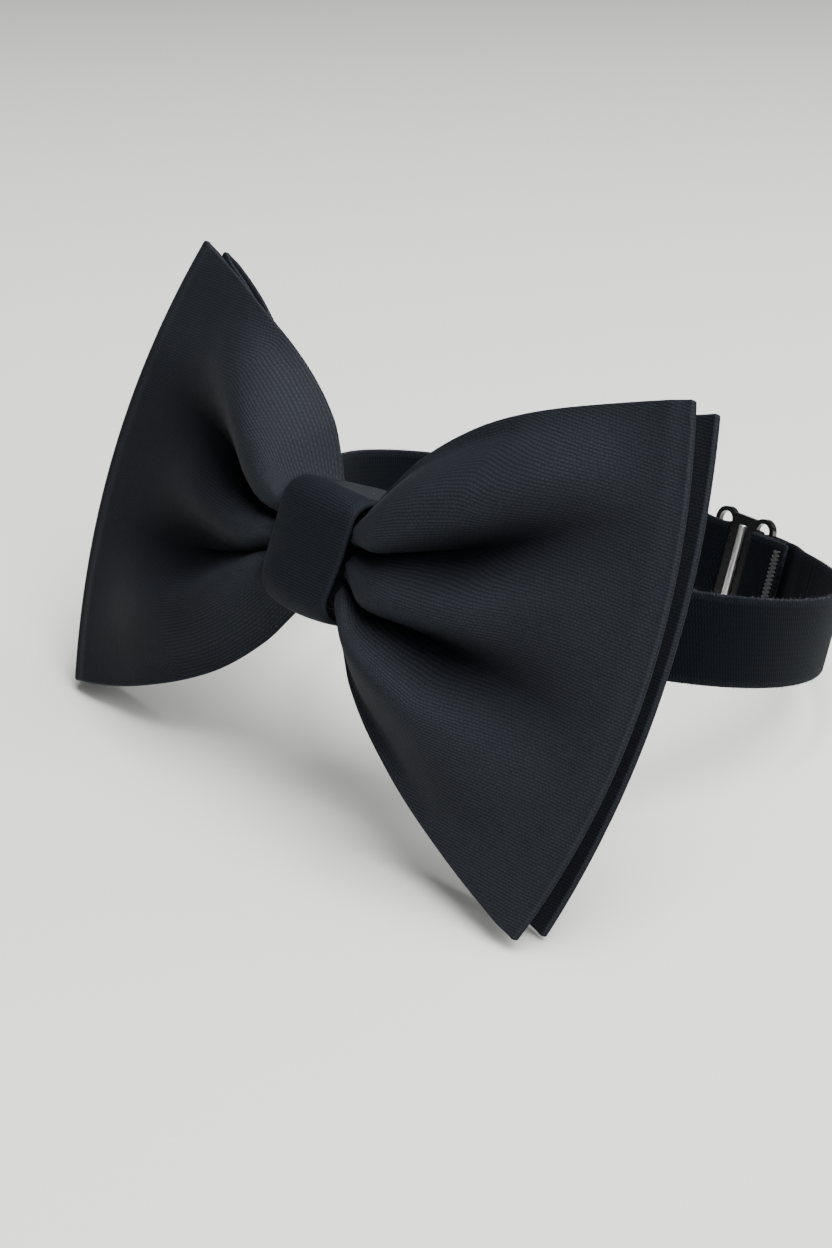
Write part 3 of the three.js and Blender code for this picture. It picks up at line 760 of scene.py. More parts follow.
@dataclass(frozen=True)
class PlatedBar:
    """Bright nickel plating with fine draw lines.

    Attributes:
        name: the material's name.
        shade: the plating's colour.
        dull: colour where it is rubbed.
    """

    name: str
    shade: Colour = (0.86, 0.86, 0.85)
    dull: Colour = (0.66, 0.66, 0.65)

    def material(self) -> bpy.types.Material:
        """Draw lines are noise squeezed across the bar; dull patches are a slower noise."""
        board = Board(self.name)
        squeezed = board.node(
            "ShaderNodeMapping", inputs={"Vector": board.object_place(), "Scale": (9.0, 9.0, 0.6)}
        )
        lines = board.noise(900.0, 2.0, 0.5, squeezed)
        worn = board.noise(500.0, 3.0).eased(0.45, 0.7)
        return board.finish(
            Base_Color=board.mixed(self.shade, self.dull, worn),
            Roughness=0.26 + worn * 0.1 + lines * 0.06,
            Normal=board.bump(lines, 0.000004, 0.12),
            Metallic=1.0,
        )


@dataclass(frozen=True)
class StudioPaper:
    """Pale matte paper for the floor and the wall behind.

    Attributes:
        name: the material's name.
        near: colour at the front.
        far_painted_shade: colour at the rear and up the wall, a painted shade for the lights' falloff.
        slide: the distances over which near turns into far_painted_shade, in metres.
    """

    name: str
    near: Colour = (0.81, 0.817, 0.785)
    far_painted_shade: Colour = (0.34, 0.345, 0.328)
    slide: Tuple[float, float] = (0.1, 1.6)

    def material(self) -> bpy.types.Material:
        """A painted shade: the colour slides from near to far_painted_shade with the distance back and up.
        """
        board = Board(self.name)
        x, y, z = board.split(board.object_place())
        away = y - x * 0.9 + z * 1.2
        return board.finish(
            Base_Color=board.mixed(self.near, self.far_painted_shade, away.eased(*self.slide)),
            Roughness=0.62 + board.noise(60.0) * 0.1,
            Specular_IOR_Level=0.3,
        )


# ---------------------------------------------------------------- bow loops
# Half heights by reach out, in millimetres on a wing whose corners are 40 up and down.
CORNER = 40.0
UPPER_HEM = [(0.0, 6.7), (0.1, 7.1), (0.145, 9.3), (0.19, 13.2), (0.26, 19.1), (0.41, 26.6),
             (0.57, 31.5), (0.8, 36.4), (1.0, CORNER)]
LOWER_HEM_RIGHT = [(0.0, 6.7), (0.1, 7.0), (0.145, 8.9), (0.19, 12.0), (0.26, 17.2), (0.45, 25.4),
                   (0.6, 30.6), (0.8, 35.9), (1.0, CORNER)]
LOWER_HEM_LEFT = [(0.0, 6.7), (0.1, 7.0), (0.145, 9.3), (0.19, 13.0), (0.26, 19.0), (0.41, 27.2),
                  (0.57, 32.4), (0.8, 37.2), (1.0, CORNER)]
HIDDEN_HEM_RIGHT = [(0.0, 6.6), (0.1, 6.9), (0.145, 8.4), (0.2, 11.6), (0.3, 18.0), (0.42, 24.0),
                    (0.57, 29.6), (0.8, 35.6), (1.0, CORNER)]
HIDDEN_HEM_LEFT = [(0.0, 6.6), (0.1, 6.9), (0.145, 7.9), (0.2, 10.6), (0.3, 15.6), (0.42, 20.6),
                   (0.57, 26.2), (0.8, 34.6), (1.0, CORNER)]
# Levels of the valleys by reach out, as shares of the half height.
UPPER_VALLEY_RIGHT = [(0.1, 0.3), (0.2, 0.28), (0.4, 0.33), (0.62, 0.45), (0.8, 0.54), (1.0, 0.56)]
UPPER_VALLEY_LEFT = [(0.1, 0.3), (0.2, 0.22), (0.4, 0.29), (0.6, 0.37), (1.0, 0.4)]
LOWER_VALLEY_RIGHT = [(0.1, -0.42), (0.2, -0.3), (0.4, -0.21), (0.7, -0.19), (1.0, -0.2)]
LOWER_VALLEY_LEFT = [(0.1, -0.36), (0.2, -0.25), (0.5, -0.27), (1.0, -0.28)]
PLEATS = 3
LOWER, MIDDLE = 0, 1  # numbers of the lower and the middle pleat; the upper one is the last
LEAN_PEAK = 2.598  # makes sqrt(q) (1 - q) peak at 1


def by_wing(reach: Array, left: Stops, right: Stops) -> Array:
    """The left wing's curve where reach is below 0, and the right wing's elsewhere, read at |reach|."""
    out = np.abs(reach)
    return np.where(np.asarray(reach) < 0, spline_at(out, left), spline_at(out, right))


def hill(x: Array, middle: Union[Array, float], width: float) -> Array:
    """exp(-((x - middle) / width)^2)."""
    return np.exp(-(((x - middle) / width) ** 2))


@dataclass
class BowLoop:
    """One folded strip of cloth that makes both wings: a front ply, two outer folds and a rear ply.

    Lengths are in millimetres.

    Attributes:
        name: the piece's name.
        node: the CAD node it stands for.
        half_height: middle to corner, up the wing.
        tip_x: centre line to a corner.
        edge_depth: how far back the outer edge lies.
        waist_middle: how far back the gathered middle lies.
        puff: how far the front pleats stand forward.
        tuck: how far the valleys of a ply sink into the loop near the knot.
        rows: steps up each pleat.
        fine: how many times closer the steps along the wing are.
        belly: how much further out the outer edge is at mid height than at the corners.
        cloth: the cloth's thickness.
        fold: half the loop's thickness near its outer edge.
        waist_depth: the gathered loop's thickness.
        edge_bead: half the outer fold's thickness.
        cut_share: the cut's area over length times width, below 1 because the cut is waisted; not used.
        hem_steps: steps round a hem.
        roll: how far the left wing's hems roll back beside the knot.
        shade: how much painted shade darkens the left wing's cloth below its upper valley, from 0 to 1.
    """

    name: str
    node: str
    half_height: float
    tip_x: float
    edge_depth: float
    waist_middle: float
    puff: float
    tuck: float = 1.5
    rows: int = 22
    fine: float = 1.0
    belly: float = 7.6
    cloth: float = 0.62
    fold: float = 0.9
    waist_depth: float = 4.6
    edge_bead: float = 0.5
    cut_share: float = 0.8
    hem_steps: int = 5
    roll: float = 8.5
    # painted shade for the left wing below its upper valley
    shade: float = 0.44

    def half_height_at(self, reach: Array, level: Union[Array, float], hidden: bool) -> Array:
        """Half the wing's height by its reach out.

        Args:
            reach: place along the wings, -1..1.
            level: its sign picks the upper or the lower half.
            hidden: whether the ply lies behind another, which it then doesn't overtop.

        Returns:
            Half heights in millimetres.
        """
        if hidden:
            half = by_wing(reach, HIDDEN_HEM_LEFT, HIDDEN_HEM_RIGHT)
        else:
            low = by_wing(reach, LOWER_HEM_LEFT, LOWER_HEM_RIGHT)
            half = np.where(np.asarray(level) < 0, low, spline_at(np.abs(reach), UPPER_HEM))
        return half * (self.half_height / CORNER)

    @staticmethod
    def valley_levels(reach: Array) -> Tuple[Array, Array]:
        """Levels of the lower and the upper valley along the wings."""
        low = by_wing(reach, LOWER_VALLEY_LEFT, LOWER_VALLEY_RIGHT)
        return low, by_wing(reach, UPPER_VALLEY_LEFT, UPPER_VALLEY_RIGHT)

    def levels(self, reach: Array) -> Tuple[Array, Array, Array]:
        """Grid levels that keep both valleys on grid lines.

        Each pleat's steps are spaced as (1 - cos(pi q)) / 2, closer at its valleys.

        Args:
            reach: places along the wings (n, 1).

        Returns:
            Levels, pleat numbers and shares across each pleat, each (n, 3 rows + 1).
        """
        low, high = self.valley_levels(reach)
        one = np.ones_like(reach)
        bounds = np.stack([-one, low, high, one], -1)[:, 0, :]
        q = np.linspace(0.0, PLEATS, PLEATS * self.rows + 1)[None, :]
        pleat = np.clip(q.astype(int), 0, PLEATS - 1)
        share = 0.5 - 0.5 * np.cos(math.pi * (q - pleat))
        pleat = np.broadcast_to(pleat, (len(reach), q.shape[1]))
        start = np.take_along_axis(bounds, pleat, 1)
        end = np.take_along_axis(bounds, pleat + 1, 1)
        share = np.broadcast_to(share, start.shape)
        return blend_of(start, end, share), pleat, share

    @staticmethod
    def ridge(out: Array, left: Array, pleat: Array, share: Array) -> Array:
        """How near a point is to its pleat's crest, 1, rather than its valley, 0.

        Near the knot the middle pleat is half an ellipse, and the others are sqrt(q) (1 - q), which
        leans towards the valley. Further out all three turn into powers of a sine.

        Args:
            out: reach without its sign.
            left: whether a point is on the left wing.
            pleat: pleat numbers.
            share: shares across each pleat.

        Returns:
            The ridge, from 0 to 1.
        """
        inner = np.choose(pleat, [1 - share, share, share])
        leaning = LEAN_PEAK * np.sqrt(inner) * (1 - inner)
        round_top = np.sqrt(np.clip(4 * share * (1 - share), 0, 1))
        dome = np.where(pleat == MIDDLE, round_top, leaning)
        narrow = np.sin(math.pi * inner**0.95) ** 1.3
        broad = np.where(left, narrow, np.sin(math.pi * inner**0.8) ** 1.8)
        wave = np.where(pleat == MIDDLE, np.sin(math.pi * share) ** 1.7, broad)
        return blend_of(dome, wave, smoothstep(out, 0.17, 0.5))

    @staticmethod
    def dying(out: Array, left: Array, pleat: Array) -> Array:
        """1 where the pleats stand in full, falling to 0 at the outer edge, later on the right."""
        fade = 1 - np.where(left, smoothstep(out, 0.3, 0.88), smoothstep(out, 0.46, 0.97))
        return np.where(left & (pleat == LOWER), 1 - smoothstep(out, 0.5, 1.0), fade)

    def ply(self, side: int, reach: Array) -> Tuple[Array, Array, Array]:
        """A ply's outer surface.

        The pleats swell out of the knot as a quarter circle and die away towards the outer edge. A
        shear in proportion to how far a point stands forward makes each pleat hang over the valley
        below. Close crimps gather at the knot, and a slow sway runs over the wing.

        Args:
            side: -1 for the front ply and 1 for the rear ply.
            reach: places along the wings, -1..1.

        Returns:
            Points (n, m, 3) in the bow's frame, cloth places (n, m, 2) and the painted shade (n, m).
        """
        reach = reach[:, None]
        level, pleat, share = self.levels(reach)
        low, high = self.valley_levels(reach)
        out, left = np.abs(reach), reach < 0
        x = reach * (self.tip_x + self.belly * (1 - level**2) - 0.2)
        hidden = side > 0 or self.puff == 0.0
        climb = 0.5 * (1 - smoothstep(out, 0.14, 0.4))
        z = level * self.half_height_at(reach, level, hidden) + climb

        shell = blend_of(self.waist_depth / 2, self.fold, smoothstep(out, 0.16, 0.9)) + 0.35
        shell = shell - (self.fold + 0.35 - self.edge_bead) * smoothstep(out, 0.94, 1.0)
        middle = blend_of(self.waist_middle, self.edge_depth, smoothstep(out, 0.1, 1.0))

        ridge = self.ridge(out, left, pleat, share)
        fade = self.dying(out, left, pleat)
        mouth = smoothstep(np.abs(x), 5.5, 9.5)
        start = np.clip((np.abs(x) - 7.3) / 13.5, 0, 1)
        swell = np.sqrt(np.clip(1 - (1 - start) ** 2, 0, 1))
        stout = np.choose(pleat, [0.9, 0.84, 1.12]) * np.where(left, 0.86, 1.0)
        puff = self.puff if side < 0 else 0.0
        stands = puff * swell * fade * stout * ridge
        sinks = self.tuck * mouth * (1 - smoothstep(out, 0.3, 0.72)) * (1 - ridge)
        sinks = sinks * (1 - smoothstep(np.abs(level), 0.9, 1.0))

        hang = np.where(left, 0.22, 0.46) * smoothstep(out, 0.14, 0.24)
        hang = hang * (1 - smoothstep(out, 0.5, 0.86))
        rises = (stands + puff / 6 * mouth * ridge) * hang
        z = z - rises * (hill(level, high, 0.34) + 0.95 * hill(level, low, 0.3))

        pinch = hill(np.abs(x), 8.0, 4.5)
        crimp = 0.24 * pinch * np.sin(level * 31.0 + 1.7 * np.sign(reach)) * mouth
        sway = 0.35 * fade * smoothstep(out, 0.45, 0.8) * np.sin(level * 4.3 + reach * 5.0 + 0.6)
        depth = middle + side * (shell - sinks + crimp) - stands - sway
        if not hidden:
            turned = np.clip((np.abs(level) - 0.58) / 0.42, 0, 1) ** 2
            depth = depth + self.roll * left * mouth * (1 - smoothstep(out, 0.15, 0.68)) * turned
        rub_and_shade = self.painted_shade(side, reach, level, mouth, ridge)
        return np.stack([x, depth, z], -1), self.fabric(x, level, reach), rub_and_shade

    def painted_shade(self, side: int, reach: Array, level: Array, mouth: Array, ridge: Array) -> Array:
        """The painted shade of a ply: 0 in the open, down to -1 deep in a valley.

        Also a painted shadow of the front loop on the back loop's front ply, and a painted shade on the
        left wing below its upper valley.

        Args:
            side: -1 for the front ply and 1 for the rear ply.
            reach: places along the wings (n, 1).
            level: grid levels (n, m).
            mouth: 0 under the knot and 1 outside it.
            ridge: the pleats' ridge (n, m).

        Returns:
            The values (n, m).
        """
        out, left = np.abs(reach), reach < 0
        reaches = np.where(left, smoothstep(out, 0.34, 1.0), smoothstep(out, 0.46, 0.98))
        deep = (1 - ridge) ** 1.15 * mouth * (1 - reaches)
        valley_shade = -deep * (1 - smoothstep(np.abs(level), 0.62, 0.9)) * (side < 0)
        if self.puff == 0.0 and side < 0:
            # painted shadow of the front loop on the back loop's front ply
            return valley_shade - 0.55 * smoothstep(out, 0.5, 0.8)
        if side < 0:
            # painted shade on the left wing below its upper valley
            high = self.valley_levels(reach)[1]
            below = 1 - smoothstep(level, high - 0.02, high + 0.34)
            return np.maximum(valley_shade - self.shade * left * below * smoothstep(out, 0.16, 0.42), -1.0)
        return valley_shade

    def fabric(self, x: Array, level: Array, reach: Array) -> Array:
        """Places on the cloth: ribs keep level far out and follow the pleats towards the knot."""
        gathered = 0.5
        out = np.maximum(np.abs(reach), gathered)
        across = level * self.half_height_at(out, level, False)
        return np.stack(np.broadcast_arrays(x, across), -1)

    def strip(self) -> Skin:
        """The whole loop as one closed cloth with hemmed edges.

        The outer surface goes front ply, right fold, rear ply, left fold. The inner surface is the
        outer one moved in by the cloth's thickness along its normal, and half circles hem the two.

        Returns:
            The skin, a ring both ways.
        """
        counts = [int(n * self.fine) for n in (5, 34, 34, 12)]
        wing = stations([0.0, 0.1, 0.36, 0.92, 1.0], counts)
        across = np.concatenate([-wing[:0:-1], wing])
        front, front_cloth, front_painted_shade = self.ply(-1, across)
        rear, rear_cloth, rear_painted_shade = self.ply(1, across[::-1])
        turns = np.linspace(0, math.pi, 9)[1:-1, None]
        right, right_cloth, right_rub_and_shade = self.outer_fold(front[-1], rear[0], front_cloth[-1], 1, turns)
        left, left_cloth, left_rub_and_shade = self.outer_fold(rear[-1], front[0], rear_cloth[-1], -1, turns)
        reach = np.ptp(front_cloth[:, :, 0]) + 2.0
        rear_cloth = rear_cloth * np.array([-1.0, 1.0]) + np.array([reach, 0.0])
        outer = np.concatenate([front, right, rear, left])
        cloth = np.concatenate([front_cloth, right_cloth, rear_cloth, left_cloth])
        rub_and_shade_values = np.concatenate([front_painted_shade, right_rub_and_shade, rear_painted_shade, left_rub_and_shade])
        run = np.roll(outer, -1, 0) - np.roll(outer, 1, 0)
        climb = np.gradient(outer, axis=1)
        normal = unit(np.cross(run, climb))
        front_normal = normal[len(normal) // 8, normal.shape[1] // 2]
        inward = normal * (1.0 if front_normal[1] > 0 else -1.0)
        return self.hemmed(outer, outer + inward * self.cloth, cloth, rub_and_shade_values)

    def outer_fold(self, start: Array, end: Array, cloth: Array, hand: int,
                   turns: Array) -> Tuple[Array, Array, Array]:
        """Half an ellipse from one ply's edge to the other's: rub and painted highlight on its crests,
        painted shade between.

        Args:
            start: the edge that the fold leaves (m, 3).
            end: the edge that it reaches (m, 3).
            cloth: cloth places of the first edge (m, 2).
            hand: 1 for the right wing and -1 for the left.
            turns: angles along the fold (k, 1).

        Returns:
            Points, cloth places, and the fold's rub and painted shade.
        """
        centre = (start + end) / 2
        arm = (start - end) / 2
        bulge = np.array([hand * 0.7, 0.0, 0.0])
        points = centre + arm * np.cos(turns)[..., None] + bulge * np.sin(turns)[..., None]
        shift = np.stack(np.broadcast_arrays(hand * turns * 0.55, 0 * turns), -1)
        places = cloth[None] + shift
        # rubbed crests, partly wear and partly a painted highlight
        crest_rub_and_highlight = hill(turns, 0.5, 0.3) + hill(math.pi - turns, 0.5, 0.3)
        # painted shade where the fold turns away, between its crests
        painted_turn_shade = 0.5 * hill(turns, math.pi / 2, 0.55)
        rub_and_shade_values = (0.55 * crest_rub_and_highlight - painted_turn_shade) * np.ones((1, start.shape[0]))
        return points, places, rub_and_shade_values

    def hemmed(self, outer: Array, inner: Array, cloth: Array, rub_and_shade_values: Array) -> Skin:
        """Joins the outer and inner surfaces with half a circle along each long edge."""
        rounds = np.linspace(0, math.pi, self.hem_steps + 2)[1:-1]

        def edge(row: int, step: int) -> Tuple[Array, Array]:
            """Half circles from the outer to the inner surface along one long edge."""
            centre = (outer[:, row] + inner[:, row]) / 2
            arm = (outer[:, row] - inner[:, row]) / 2
            away = unit(outer[:, row] - outer[:, row + step])
            size = np.linalg.norm(arm, axis=1, keepdims=True)
            points = centre[:, None] + arm[:, None] * np.cos(rounds)[None, :, None]
            points = points + (away * size)[:, None] * np.sin(rounds)[None, :, None]
            places = np.repeat(cloth[:, row][:, None], len(rounds), 1)
            places = places + np.array([0.0, -0.3 * step]) * rounds[None, :, None]
            return points, places

        top, top_cloth = edge(-1, -1)
        foot, foot_cloth = edge(0, 1)
        points = np.concatenate([outer, top, inner[:, ::-1], foot[:, ::-1]], 1)
        places = np.concatenate([cloth, top_cloth, cloth[:, ::-1], foot_cloth[:, ::-1]], 1)
        # the hems' rub, partly wear and partly a painted highlight
        lip = np.repeat(0.35 * np.sin(rounds)[None], len(outer), 0)
        plain = np.zeros_like(rub_and_shade_values)
        rub_and_shade = np.concatenate([rub_and_shade_values, lip, plain, lip[:, ::-1]], 1)
        return Skin(points, places, rub_and_shade, True, True)

    def build(self, bow: Placement, material: bpy.types.Material) -> bpy.types.Object:
        """Makes the loop, puts it on the bow and hides the CAD loop."""
        skin = self.strip()
        skin.points = bow.place(skin.points)
        made = piece(self.name, skin.mesh(self.name), material)
        dress(made, "bow_cloth", self.node, body="bow")
        return made

    def lining(self, name: str, node: str, bow: Placement,
               material: bpy.types.Material) -> bpy.types.Object:
        """The stiff sheet inside the loop, against its rear ply and short of its folds and hems."""
        wing = stations([0.0, 0.1, 0.36, 0.955], [4, 16, 24])
        across = np.concatenate([-wing[:0:-1], wing])
        half_thick, play = 0.22, 0.1
        lift = np.array([0.0, half_thick, 0.0])
        clear = np.array([0.0, self.cloth + play, 0.0])
        sheet = self.ply(1, across)[0][:, 2:-2] - clear - lift
        sheet[..., 2] *= 0.97  # a little lower than the loop, so that it stays out of the hems
        points = np.concatenate([sheet + lift, (sheet - lift)[:, ::-1]], 1)
        cloth = np.stack([points[..., 0], points[..., 2]], -1)
        skin = Skin(bow.place(points), cloth, None, False, True, True)
        return dress(piece(name, skin.mesh(name), material), "interlining", node, body="bow")


# ---------------------------------------------------------------- knot
@dataclass
class Knot:
    """The folded strip that wraps the gathered waist, closed by hand stitches behind.

    Attributes:
        front: the wrap's front face, in the bow's depth.
        back: its flat rear face.
        height: its outside height.
        width: its width at the top.
        nose: radius of its two front corners.
        heel: radius of its two rear corners.
        taper: width at the foot as a share of the width at the top.
        dome: how far the middle of the front face stands forward.
        barrel: how much wider the middle is than the ends.
        stitches: stitches across the seam.
        seam_at: height of the seam on the wrap's back.
        stitch: half a stitch's height.
        thread: the seam thread's radius.
        length: the strip's length before it is folded round the bow; not used.
    """

    front: float = -5.5
    back: float = 16.534
    height: float = 20.6
    width: float = KNOT_WIDTH
    taper: float = 0.88
    nose: float = 4.3
    heel: float = 1.7
    dome: float = 0.75
    barrel: float = 0.45
    stitches: int = 7
    seam_at: float = -4.1
    stitch: float = 0.72
    thread: float = 0.19
    length: float = 74.0

    def outline(self, steps: int) -> Array:
        """The wrap's path in depth and height: four straight runs joined by four quarter circles.

        Args:
            steps: steps in each corner and in each run.

        Returns:
            A closed path (n, 2) that starts at the top of the back.
        """
        half = self.height / 2
        corners = [
            (self.back - self.heel, half - self.heel, self.heel),
            (self.front + self.nose, half - self.nose, self.nose),
            (self.front + self.nose, self.nose - half, self.nose),
            (self.back - self.heel, self.heel - half, self.heel),
        ]
        runs = []
        turn = np.linspace(0, math.pi / 2, steps + 1)
        for quarter, (y, z, radius) in enumerate(corners):
            a = turn + quarter * math.pi / 2
            runs.append(np.stack([y + radius * np.cos(a), z + radius * np.sin(a)], -1))
        closed = np.concatenate(runs + [runs[0][:1]])
        return smooth_path(closed, 0.32)[:-1]

    def wrap(self) -> Skin:
        """The wrap as a flat strip with rounded folds at both sides.

        Across the strip s runs -1..1. Its half width is the taper times the barrel 1 - (z/h)^2, and
        its front bulges by dome (1 - s^2) where the path runs across the front.

        Returns:
            The skin, a ring both ways.
        """
        path = self.outline(10)
        outward = unit(np.roll(path, -1, 0) - np.roll(path, 1, 0))[:, ::-1] * np.array([1.0, -1.0])
        rise = (path[:, 1] / self.height + 0.5)[:, None]
        tall = (2 * path[:, 1:2] / self.height) ** 2
        half = self.width / 2 * blend_of(self.taper, 1.0, rise) + self.barrel * (1 - tall)
        facing = smoothstep(-path[:, 0:1], -self.front - 6.5, -self.front - 0.5)
        bead = 0.3  # how far a folded side swells past the flat strip
        drop = 0.35  # how far the sides of the front fall back
        s = np.linspace(-1, 1, 33)
        turn = np.linspace(-math.pi / 2, math.pi / 2, 9)[1:-1]
        width = np.concatenate([s, 1 + 0 * turn, s[::-1], -1 + 0 * turn])
        over = np.concatenate([0 * s, bead * np.cos(turn), 0 * s, -bead * np.cos(turn)])
        deep = np.concatenate([0 * s, 0.5 + 0.5 * np.sin(turn), 1 + 0 * s, 0.5 - 0.5 * np.sin(turn)])
        x = (half - bead) * width[None] + over[None]
        share = np.clip(x / half, -1, 1)
        bulge = self.dome * facing * (1 - share**2) - drop * facing * share**4
        ease = 0.12 * facing * np.sin(path[:, 1:2] * 0.55 + 1.0) * np.cos(share * 2.2)
        soft_edge = 0.1 * smoothstep(np.abs(share), 0.86, 1.0)
        lift = (bulge + ease) - KNOT_CLOTH * deep[None] - soft_edge * (1 - 2 * deep[None])
        y = path[:, 0:1] + outward[:, 0:1] * lift
        z = path[:, 1:2] + outward[:, 1:2] * lift + KNOT_RAISE
        points = np.stack([x, y, z], -1)
        run = np.concatenate([[0.0], np.cumsum(np.linalg.norm(np.diff(path, axis=0), axis=1))])
        cloth = np.stack(np.broadcast_arrays(run[:, None], x + 3.0 * deep[None]), -1)
        edge = np.concatenate([0 * s, np.cos(turn), 0 * s, np.cos(turn)])
        rub_and_shade_values = np.repeat(0.4 * edge[None], len(path), 0)
        return Skin(points, cloth, rub_and_shade_values, True, True)

    def build(self, bow: Placement, material: bpy.types.Material) -> bpy.types.Object:
        """Makes the wrap, puts it on the bow and hides the CAD wrap."""
        skin = self.wrap()
        skin.points = bow.place(skin.points)
        made = piece("knot_wrap_cloth", skin.mesh("knot_wrap_cloth"), material)
        dress(made, "knot_cloth", "knot_wrap", body="bow")
        return made

    def seam(self, bow: Placement, material: bpy.types.Material) -> bpy.types.Object:
        """Slip stitches to and fro over the wrap's end, each dipping into the cloth at its ends."""
        count = 2 * self.stitches
        t = np.linspace(0, count, count * 10 + 1)
        width = self.width * self.taper * 0.8
        swing = np.arcsin(np.sin(math.pi * (t - 0.5))) / (math.pi / 2)
        x = width * (t / count - 0.5)
        y = self.back + 0.32 - 0.16 * np.abs(swing) ** 6
        z = self.seam_at + self.stitch * swing
        path = bow.place(np.stack([x, y, z], -1))
        made = piece("knot_seam_thread", tube(path, self.thread * MM, 8).mesh("knot_seam_thread"), material)
        return dress(made, "thread", "knot_seam_stitches", body="bow")

    def overlap(self, bow: Placement, material: bpy.types.Material) -> bpy.types.Object:
        """The wrap's turned-under end, lying flat on its back above the stitches."""
        foot, top, raised = -3.6, 6.4, 0.28
        half = self.width / 2 * (self.taper + 0.03)
        s = np.linspace(-1, 1, 25)
        a, b = np.meshgrid(s, np.linspace(foot, top, 24), indexing="ij")
        lip = smoothstep(b, foot, -3.0)
        rear = self.back + raised * lip * (1 - smoothstep(b, top - 1, top)) - 0.05
        rear = rear + 0.04 * np.sin(a * 9)
        outer = np.stack([a * half, rear, b], -1)
        inner = np.stack([a * half, 0 * rear + self.back - 0.2, b], -1)
        points = np.concatenate([outer, inner[:, ::-1]], 1)
        cloth = np.stack([points[..., 2], points[..., 0]], -1)
        skin = Skin(bow.place(points), cloth, None, False, True, True)
        made = piece("knot_wrap_end", skin.mesh("knot_wrap_end"), material)
        return dress(made, "knot_cloth", body="bow")


# ---------------------------------------------------------------- neckband
class Face(Enum):
    """Which face of the band a thread lies on."""

    INNER = -1
    OUTER = 1


